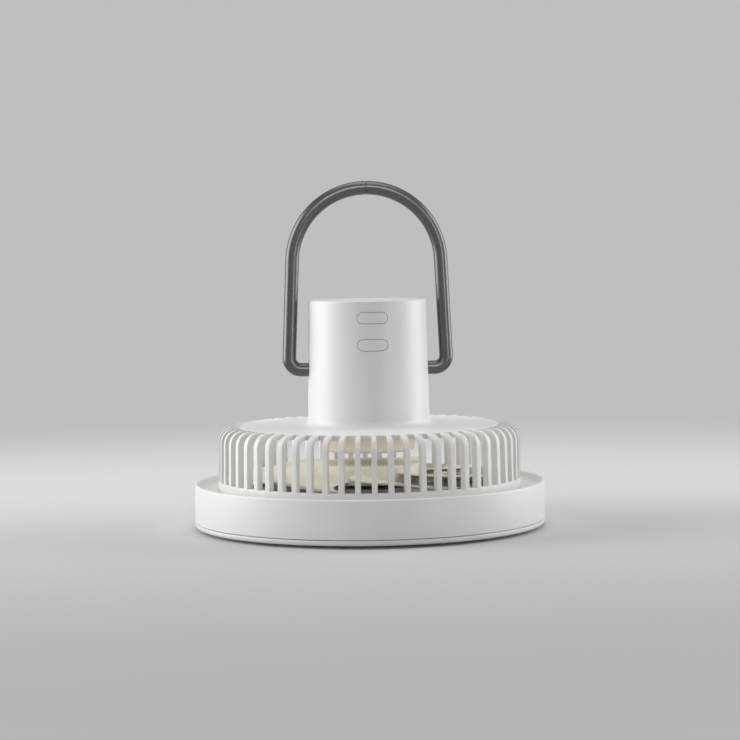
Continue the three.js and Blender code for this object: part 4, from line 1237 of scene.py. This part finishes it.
# %% [markdown]
# The lid sits in a rebate of the cylinder's rim and leaves a hairline all round. A flat top would
# look like a drawing, because a wide flat moulding sinks as it cools. So its outline is a shallow
# parabola up to the rim, turned together with the skirt below.

# %% Top cap
cap_skirt_under = low("top_cap").z
cap_spigot = bore_radius_at(body_top) - seat_gap
cap_skirt = 1.5 * mm
dish_radius = 0.94 * cap_radius
dish_depth = 0.12 * mm
dish_steps = 6
cap_top = [
    (dish_radius * i / dish_steps, body_top - dish_depth * (1 - (i / dish_steps) ** 2))
    for i in range(dish_steps + 1)
]
cap_rest = rounded(
    [
        (0, body_top, 0),
        (cap_radius, body_top, parting_round),
        (cap_radius, cap_under, hair_round),
        (cap_spigot, cap_under, needle_round),
        (cap_spigot, cap_skirt_under, usual_round),
        (cap_spigot - cap_skirt, cap_skirt_under, usual_round),
        (cap_spigot - cap_skirt, cap_under, soft_round),
        (0, cap_under, 0),
    ]
)
cap = build("top_cap_fine", *spin(cap_top + cap_rest[1:], turn_steps))
smooth(cap)
dress(cap, "housing", "white_plastic", "top_cap")

# %% [markdown]
# A button is a pill whose face follows the cylinder, with a soft edge all round and a flange
# behind the wall. Its face is built from pills inside each other: each ring lies deeper in the
# outline and higher on the rounded edge, until they meet in a line along the middle.

# %% Buttons
edge_round = 0.3 * mm
edge_steps = 4
face_rings = 5


def button_pill(inset):
    """The button's outline, drawn in by the inset, or let out where that is negative."""
    height = button_height - 2 * inset
    return pill_outline(button_width - 2 * inset, max(height, 0))


def pill_on_cylinder(level, inset, radius):
    """A pill laid on an upright cylinder round the object's axis."""
    return [(x, -math.sqrt(radius**2 - x**2), level + z) for x, z in button_pill(inset)]


def pill_on_body(level, inset, sink):
    """A pill laid on the tapered body, sunk a little below its surface."""
    points = []
    for x, z in button_pill(inset):
        radius = body_radius_at(level + z)
        points.append((x, -math.sqrt(radius**2 - x**2) + sink, level + z))
    return points


def button_rings(level):
    """Rings of points from the flange's back round the edge and in over the face."""
    button_front = button_back + button_depth
    rings = [
        pill_on_cylinder(level, button_height / 2, button_back),
        pill_on_cylinder(level, -button_flange, button_back),
        pill_on_cylinder(level, -button_flange, button_front),
        pill_on_cylinder(level, 0, button_front),
    ]
    for step in range(edge_steps + 1):
        angle = quarter_turn * step / edge_steps
        inset, sink = edge_round * (1 - math.cos(angle)), edge_round * (1 - math.sin(angle))
        rings.append(pill_on_body(level, inset, sink))
    for step in range(1, face_rings + 1):
        inset = edge_round + (button_height / 2 - edge_round) * step / face_rings
        rings.append(pill_on_body(level, inset, 0))
    return rings


def make_button(name, level):
    """One pill button round its level."""
    rings = button_rings(level)
    vertices = [point for ring in rings for point in ring]
    return build(name, vertices, ring_faces(len(rings), len(rings[0])))


for name, level in button_levels.items():
    button = smooth(make_button(f"{name}_button_fine", level))
    dress(button, f"{name}_button", "white_plastic", f"{name}_button")

# %% [markdown]
# The bail is a round rod bent in one plane: half an arch, a straight leg that leans out slightly,
# a tight bend and the pivot end. A curve with a bevel would do, but its ends would be open and
# flat. Here rings are laid along the path, and the last ones shrink to a small chamfer, which
# draws the fine seam where the two halves meet at the crown.

# %% Path of the bail
crown_gap = 0.3 * mm
arch_inset = 2.45 * mm
arch_rise = 54.5 * mm
bend_radius = 6 * mm
rod_steps = 40
arch_steps = 60
leg_steps = 8
bend_steps = 16
end_steps = 4
end_chamfer = 0.2 * mm
rod_end = 21.1 * mm
half_width = high("handle_right").x - rod_radius
arch_radius = half_width - arch_inset
arch_level = pivot_level + arch_rise
pivot_reach = math.hypot(half_width, arch_rise)
leg_lean = math.acos(arch_radius / pivot_reach) - math.atan(arch_rise / half_width)


def on_arc(centre, radius, angle):
    """A place on an arc of the path and the direction of the path there, crown first."""
    out = Vector((math.cos(angle), math.sin(angle)))
    return Vector(centre) + radius * out, Vector((out.y, -out.x))


def bail_path():
    """Places and directions along the right half, from the crown to the pivot's end."""
    start = quarter_turn - crown_gap / 2 / arch_radius
    turn = quarter_turn + leg_lean
    bend_reach = bend_radius * math.tan(turn / 2)
    bend_centre = (half_width - bend_reach, pivot_level + bend_radius)
    path = []
    for step in range(arch_steps + 1):
        angle = start + (leg_lean - start) * step / arch_steps
        path.append(on_arc((0, arch_level), arch_radius, angle))
    arch_end, slope = path[-1]
    leg_length = (half_width - arch_end.x) / math.sin(leg_lean) - bend_reach
    for step in range(1, leg_steps + 1):
        path.append((arch_end + slope * leg_length * step / leg_steps, slope))
    for step in range(1, bend_steps + 1):
        angle = leg_lean - turn * step / bend_steps
        path.append(on_arc(bend_centre, bend_radius, angle))
    for step in range(1, end_steps + 1):
        x = bend_centre[0] + (rod_end - bend_centre[0]) * step / end_steps
        path.append((Vector((x, pivot_level)), Vector((-1, 0))))
    return path


print("legs lean", round(math.degrees(leg_lean), 2), "degrees, path of", len(bail_path()), "places")

# %% [markdown]
# The left half is the right one mirrored. Its places are made with the other sign instead of being
# scaled by minus one, so that both halves are plain meshes of the right size and sense.

# %% Halves of the bail
def make_bail_half(name, side):
    """Round sections laid along the path, with a small chamfer at both ends."""
    path = bail_path()
    (start, start_way), (end, end_way) = path[0], path[-1]
    sections = [
        (start, start_way, rod_radius - end_chamfer),
        (start + start_way * end_chamfer, start_way, rod_radius),
        *[(place, way, rod_radius) for place, way in path[1:-1]],
        (end - end_way * end_chamfer, end_way, rod_radius),
        (end, end_way, rod_radius - end_chamfer),
    ]
    vertices = []
    for place, way, radius in sections:
        for step in range(rod_steps):
            angle = full_turn * step / rod_steps
            out, across = radius * math.cos(angle), radius * math.sin(angle)
            vertices.append((side * (place.x - way.y * out), across, place.y + way.x * out))
    return build(name, vertices, ring_faces(len(sections), rod_steps, capped=True))


for name, side in (("left", -1), ("right", 1)):
    half = smooth(make_bail_half(f"handle_{name}_fine", side))
    dress(half, "bail", "satin_metal", f"handle_{name}")

# %% [markdown]
# Under the cylinder hangs the lamp's milky bowl: a rounded bottom edge, a thin flange against the
# ceiling and a spigot that centres it. A solid plug would look the same from outside, but light
# shines through a real bowl, so it is turned as a shell of even thickness.

# %% Lamp lens
lens_under = low("lamp_lens").z
lens_arcs = 8
lens_radius = 23.6 * mm
lens_round = 2 * mm
lens_wall = 1.6 * mm
lens_flange = 1.5 * mm
lens_spigot = bore_radius_at(floor_under) - seat_gap
lens_corners = [
    (0, lens_under, 0),
    (lens_radius, lens_under, lens_round),
    (lens_radius, lens_top - lens_flange, soft_round),
    (high("lamp_lens").x, lens_top - lens_flange, lip_round),
    (high("lamp_lens").x, lens_top, crisp_round),
    (lens_spigot, lens_top, crisp_round),
    (lens_spigot, high("lamp_lens").z, usual_round),
    (lens_spigot - lens_wall, high("lamp_lens").z, usual_round),
    (lens_spigot - lens_wall, lens_top, 0),
    (lens_radius - lens_wall, lens_top, 0),
    (lens_radius - lens_wall, lens_under + lens_wall, lens_round - lens_wall),
    (0, lens_under + lens_wall, 0),
]
lens = turned("lamp_lens_fine", lens_corners, arcs=lens_arcs)
smooth(lens)
dress(lens, "housing", "milky_plastic", "lamp_lens")

# %% [markdown]
# The impeller's blades follow a rule: each is a strip between two angles whose height falls along
# a rounded camber, and which sweeps forward towards the tip. That is what Geometry Nodes are good
# at: a flat grid is bent by sums on its coordinates, given a thickness that is fullest in the
# middle, and repeated round the hub.

# %% Sizes of hub and blades
hub_radius = 26 * mm
hub_top = high("impeller").z
hub_wall = 1.6 * mm
hub_skirt = 9.6 * mm
hub_round = 1 * mm
blade_clearance = 6 * mm
blade_tip = drum_inner - blade_clearance
blade_count = 7
blade_drop = 4.1 * mm
blade_height = 4.2 * mm
blade_thickness = 1.3 * mm
thin_edge = 0.4
root_span = math.radians(44)
tip_span = math.radians(38)
blade_sweep = math.radians(16)
blade_inputs = [
    ("Root Radius", "NodeSocketFloat", hub_radius - hub_wall / 2),
    ("Tip Radius", "NodeSocketFloat", blade_tip),
    ("Root Span", "NodeSocketFloat", root_span),
    ("Tip Span", "NodeSocketFloat", tip_span),
    ("Sweep", "NodeSocketFloat", blade_sweep),
    ("Top", "NodeSocketFloat", hub_top - blade_drop),
    ("Height", "NodeSocketFloat", blade_height),
    ("Thickness", "NodeSocketFloat", blade_thickness),
    ("Edge Share", "NodeSocketFloat", thin_edge),
    ("Count", "NodeSocketInt", blade_count),
    ("First Angle", "NodeSocketFloat", -quarter_turn),
    ("Material", "NodeSocketMaterial", finishes["cream_plastic"]),
]


def function_of(signal, operation):
    """One-input maths, such as a sine."""
    return signal.maths(operation, signal)


print(blade_count, "blades out to", round(blade_tip / mm, 1), "mm")

# %% [markdown]
# The blade's two sides are the same bent grid, one of them lower by the thickness, and a strip of
# faces closes it all round. Modelling the blade by hand would hide its rule; here root, tip, sweep
# and camber stay inputs that can be changed.

# %% Blade solid
blade_grid = {"Size X": 1.0, "Size Y": 1.0, "Vertices X": 22, "Vertices Y": 26}
unit_weld = 0.001
camber_power = 1.5


def make_blade_tree():
    """A flat unit slab bent into a swept, cambered blade and repeated round the hub."""
    tree, sizes = geometry_tree("swept_blades", [(label, kind) for label, kind, _ in blade_inputs])
    grid = make_node(tree, "GeometryNodeMeshGrid", values=blade_grid)
    slab = make_node(
        tree,
        "GeometryNodeExtrudeMesh",
        {"mode": "FACES"},
        {"Mesh": grid, "Offset": (0, 0, -1), "Offset Scale": 1.0, "Individual": False},
    )
    flipped = make_node(tree, "GeometryNodeFlipFaces", values={"Mesh": grid})
    both = make_node(tree, "GeometryNodeJoinGeometry", values={"Geometry": [slab, flipped]})
    closed = make_node(
        tree, "GeometryNodeMergeByDistance", values={"Geometry": both, "Distance": unit_weld}
    )
    place = make_node(tree, "GeometryNodeInputPosition")
    parts = make_node(tree, "ShaderNodeSeparateXYZ", values={0: place})
    out = parts["X"] + 0.5
    along = parts["Y"] + 0.5
    radius = sizes["Root Radius"] + (sizes["Tip Radius"] - sizes["Root Radius"]) * out
    span = sizes["Root Span"] + (sizes["Tip Span"] - sizes["Root Span"]) * out
    turn = sizes["Sweep"] * out * out + span * (along - 0.5)
    camber = function_of(along * quarter_turn, "SINE") ** camber_power
    middle = function_of(along * math.pi, "SINE")
    fullness = sizes["Edge Share"] + (1 - sizes["Edge Share"]) * middle
    level = sizes["Top"] - sizes["Height"] * camber + sizes["Thickness"] * fullness * parts["Z"]
    x, y = radius * function_of(turn, "COSINE"), radius * function_of(turn, "SINE")
    bent = make_node(tree, "ShaderNodeCombineXYZ", values={"X": x, "Y": y, "Z": level})
    blade = make_node(
        tree, "GeometryNodeSetPosition", values={"Geometry": closed, "Position": bent}
    )
    points, rotation = ring_points(tree, sizes["Count"], sizes["First Angle"])
    blades = make_node(
        tree,
        "GeometryNodeInstanceOnPoints",
        values={"Points": points, "Instance": blade, "Rotation": rotation},
    )
    real = make_node(tree, "GeometryNodeRealizeInstances", values={"Geometry": blades})
    close_tree(tree, real, sizes["Material"])
    return tree


blades = build("blades", [(0, 0, 0)], [], tidy=False)
modifier = blades.modifiers.new("swept_blades", "NODES")
modifier.node_group = make_blade_tree()
set_inputs(modifier, {label: value for label, _, value in blade_inputs})
settle(blades)
face_outwards(blades)
print("blades", len(blades.data.polygons), "faces")

# %% [markdown]
# The hub is a shallow cap with a skirt and a boss for the shaft. Each blade starts inside the
# skirt's wall, so a union joins them, and one cut then clears what reaches into the hub.

# %% Impeller
hub_steps = 120
boss_height = 1.1 * mm
boss_radius = 3.6 * mm
boss_bore = 1.65 * mm
boss_clearance = 0.1 * mm
skirt_clearance = 0.02 * mm
hub_under = hub_top - hub_wall
boss_under = hub_under - boss_height
skirt_inner = hub_radius - hub_wall
skirt_under = hub_top - hub_skirt
hub_corners = [
    (0, hub_top, 0),
    (hub_radius, hub_top, hub_round),
    (hub_radius, skirt_under, usual_round),
    (skirt_inner, skirt_under, usual_round),
    (skirt_inner, hub_under, soft_round),
    (boss_radius, hub_under, 0),
    (boss_radius, boss_under, 0),
    (boss_bore, boss_under, 0),
    (boss_bore, hub_top - hub_wall / 2, 0),
    (0, hub_top - hub_wall / 2, 0),
]
impeller = turned("impeller_fine", hub_corners, hub_steps)
combine(impeller, [blades], "UNION")
inside_near, inside_far = boss_radius + boss_clearance, skirt_inner - skirt_clearance
inside_under, inside_top = skirt_under - overrun, hub_under - soft_round
inside_outline = [
    (inside_near, inside_under),
    (inside_far, inside_under),
    (inside_far, inside_top),
    (inside_near, inside_top),
]
combine(impeller, [build("inside_hub", *spin(inside_outline, hub_steps))], "DIFFERENCE")
smooth(impeller)
dress(impeller, "impeller", "cream_plastic", "impeller")

# %% [markdown]
# Bars with eased edges and holes for the four base screws come back in the fan bracket and in the
# grid's frame, so each has its helper. A bevel would ease the edges too, but it would also catch
# edges that have to stay where another piece sits on them.

# %% Bars and screw holes
screw_count = 4
screw_inset = 2 * mm
screw_radius = 1.25 * mm
screw_hole_steps = 24
screw_circle = drum_inner - screw_inset
screw_hole_radius = screw_radius + seat_gap
bar_arcs = 3


def eased_section(near, far, under, top, ease, arcs):
    """The section of a bar with eased edges."""
    corners = [(near, under, ease), (far, under, ease), (far, top, ease), (near, top, ease)]
    return rounded(corners, arcs)


def eased_bar(name, start, end, half_width, under, top):
    """A bar along +X with eased edges."""
    outline = eased_section(-half_width, half_width, under, top, usual_round, bar_arcs)
    return prism(name, outline, lambda point, far: (end if far else start, *point))


def screw_holes(under, top):
    """Cutters for the four base screws."""
    start, end = (screw_circle, 0, under - overrun), (screw_circle, 0, top + overrun)
    hole = round_bar("screw_hole", screw_hole_radius, start, end, screw_hole_steps)
    return repeat(hole, screw_count, quarter_turn / 2, "cream_plastic")


print("screws on a circle of", round(screw_circle / mm, 2), "mm")

# %% [markdown]
# Through the slots and between the blades one looks down on the fan's fixed side: a rim, a round
# plate, four struts on the diagonals and the tube that holds the bearings. The rim and plate are
# turned, a strut is a bar that the repeat tree sets four times, and Booleans make them one
# moulding.

# %% Fan bracket
bracket_under = low("fan_bracket").z
bracket_top = low("motor_board").z - seat_gap
bracket_rim = 8 * mm
bracket_radius = high("fan_bracket").x
plate_radius = 23 * mm
strut_width = 5 * mm
tube_outer = 4.95 * mm
tube_bore = 3.55 * mm
inner_arcs = 4

bracket = turned(
    "fan_bracket_fine",
    [
        (bracket_radius - bracket_rim, bracket_under, usual_round),
        (bracket_radius, bracket_under, usual_round),
        (bracket_radius, bracket_top, usual_round),
        (bracket_radius - bracket_rim, bracket_top, usual_round),
    ],
    arcs=inner_arcs,
)
plate = turned(
    "plate",
    [
        (tube_bore, bracket_under, usual_round),
        (plate_radius, bracket_under, usual_round),
        (plate_radius, bracket_top, usual_round),
        (tube_outer, bracket_top, soft_round),
        (tube_outer, high("fan_bracket").z, crisp_round),
        (tube_bore, high("fan_bracket").z, crisp_round),
    ],
    arcs=inner_arcs,
)
strut = eased_bar(
    "strut",
    (tube_outer + plate_radius) / 2,
    bracket_radius - bracket_rim / 2,
    strut_width / 2,
    bracket_under + merge_gap,
    bracket_top - merge_gap,
)
struts = repeat(strut, screw_count, quarter_turn / 2, "cream_plastic")
combine(bracket, [struts], "UNION")
combine(bracket, [plate], "UNION")
combine(bracket, [screw_holes(bracket_under, bracket_top)], "DIFFERENCE")
smooth(bracket)
dress(bracket, "housing", "cream_plastic", "fan_bracket")

# %% [markdown]
# The killing grid lies in an insulating ring under the fan. The ring is an L in section: a flat
# floor that the bus strips lie on and a taller wall outside it, with holes for the base screws.

# %% Grid frame
frame_width = 11.6 * mm
frame_wall = 4.6 * mm
frame_floor = 1.6 * mm
grid_under = low("grid_frame").z
grid_top = high("grid_frame").z
grid_floor = grid_under + frame_floor
grid_outer = high("grid_frame").x
grid_frame = turned(
    "grid_frame_fine",
    [
        (grid_outer - frame_width, grid_under, usual_round),
        (grid_outer, grid_under, crisp_round),
        (grid_outer, grid_top, usual_round),
        (grid_outer - frame_wall, grid_top, usual_round),
        (grid_outer - frame_wall, grid_floor, usual_round),
        (grid_outer - frame_width, grid_floor, usual_round),
    ],
    arcs=inner_arcs,
)
combine(grid_frame, [screw_holes(grid_under, grid_top)], "DIFFERENCE")
smooth(grid_frame)
dress(grid_frame, "housing", "cream_plastic", "grid_frame")

# %% [markdown]
# The grid is twenty-six parallel wires, every second one joined to the bus strip on the right and
# the others to the one on the left. The wires are one rule, so a tree writes them: wire i lies at
# its own Y and ends on two circles.

# %% Grid wires
wire_count = 26
wire_pitch = 5 * mm
wire_sides = 14
wire_inputs = [
    ("Count", "NodeSocketInt"),
    ("Pitch", "NodeSocketFloat"),
    ("First Y", "NodeSocketFloat"),
    ("Hand", "NodeSocketFloat"),
    ("Bus Radius", "NodeSocketFloat"),
    ("Free Radius", "NodeSocketFloat"),
    ("Level", "NodeSocketFloat"),
    ("Wire Radius", "NodeSocketFloat"),
    ("Material", "NodeSocketMaterial"),
]


def make_wire_tree():
    """Parallel round wires, each stretched between a circle on one side and one on the other."""
    tree, sizes = geometry_tree("grid_wires", wire_inputs)
    index = make_node(tree, "GeometryNodeInputIndex")
    y = sizes["First Y"] + index * sizes["Pitch"]
    near = function_of(sizes["Bus Radius"] ** 2.0 - y * y, "SQRT")
    far = function_of(sizes["Free Radius"] ** 2.0 - y * y, "SQRT")
    middle = make_node(
        tree,
        "ShaderNodeCombineXYZ",
        values={"X": sizes["Hand"] * (near - far) * 0.5, "Y": y, "Z": sizes["Level"]},
    )
    line = make_node(
        tree, "GeometryNodeMeshLine", values={"Count": sizes["Count"], "Offset": (0, 0, 0)}
    )
    places = make_node(
        tree, "GeometryNodeSetPosition", values={"Geometry": line, "Position": middle}
    )
    rod = make_node(
        tree,
        "GeometryNodeMeshCylinder",
        values={"Vertices": wire_sides, "Radius": sizes["Wire Radius"], "Depth": 1.0},
    )
    stretch = make_node(tree, "ShaderNodeCombineXYZ", values={"X": 1.0, "Y": 1.0, "Z": near + far})
    wires = make_node(
        tree,
        "GeometryNodeInstanceOnPoints",
        values={
            "Points": places,
            "Instance": rod,
            "Rotation": (0, quarter_turn, 0),
            "Scale": stretch,
        },
    )
    close_tree(tree, wires, sizes["Material"])
    return tree


wire_tree = make_wire_tree()
print(wire_count, "wires", round(wire_pitch / mm, 1), "mm apart")

# %% [markdown]
# A bus strip is a flat bar bent round the frame. It could be a whole ring, but the two poles must
# not meet, so each strip only spans its own wires, and a union joins strip and wires.

# %% Poles of the grid
bus_width = 1.4 * mm
pole_gap = 2.4 * mm
bus_steps = 60
bus_arcs = 2
bus_outer = high("grid_wires_live").x
bus_inner = bus_outer - bus_width


def make_pole(name, hand, first):
    """One pole of the grid: its wires and its bus strip."""
    wires = build("wires", [(0, 0, 0)], [], tidy=False)
    modifier = wires.modifiers.new("grid_wires", "NODES")
    modifier.node_group = wire_tree
    lowest, highest = low(name), high(name)
    level = (lowest.z + highest.z) / 2
    wire_radius = (highest.z - lowest.z) / 2
    bus_middle = (bus_inner + bus_outer) / 2
    set_inputs(
        modifier,
        {
            "Count": wire_count // 2,
            "Pitch": 2 * wire_pitch,
            "First Y": (first - (wire_count - 1) / 2) * wire_pitch,
            "Hand": hand,
            "Bus Radius": bus_middle,
            "Free Radius": bus_inner - pole_gap,
            "Level": level,
            "Wire Radius": wire_radius,
            "Material": finishes["steel"],
        },
    )
    settle(wires)
    face_outwards(wires)
    reach = math.asin((wire_count - 1) / 2 * wire_pitch / bus_middle) + wire_radius / bus_middle
    section = eased_section(
        bus_inner, bus_outer, level - wire_radius, level + wire_radius, hair_round, bus_arcs
    )
    vertices = []
    for step in range(bus_steps + 1):
        angle = (0 if hand > 0 else math.pi) - reach + 2 * reach * step / bus_steps
        vertices += [polar(radius, angle, height) for radius, height in section]
    faces = ring_faces(bus_steps + 1, len(section), capped=True)
    bus = build(f"{name}_fine", vertices, faces)
    combine(bus, [wires], "UNION")
    smooth(bus)
    return dress(bus, "housing", "steel", name)


make_pole("grid_wires_live", 1, 0)
make_pole("grid_wires_return", -1, 1)

# %% [markdown]
# The pieces inside keep the shape that they were constructed with and only get their finish. They
# could be modelled again, but the slots show little of them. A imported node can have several
# material slots, and all of them take the finish of its kind.

# %% Finishes for the inner pieces
slot_of = {row["node"]: row["material_slot"] for row in frame["record"]["subparts"]}
kept = 0
for node, thing in frame["nodes"].items():
    if thing.hide_render:
        continue
    if not thing.data.materials:
        thing.data.materials.append(None)
    for place in range(len(thing.data.materials)):
        thing.data.materials[place] = finishes[slot_of[node]]
    kept += 1
print("inner pieces that keep their shape", kept)

# %% [markdown]
# Last, the scene is brought up to date. A dressed piece may be finer than its solid but never
# larger.

# %% Bring the scene up to date
bpy.context.view_layer.update()
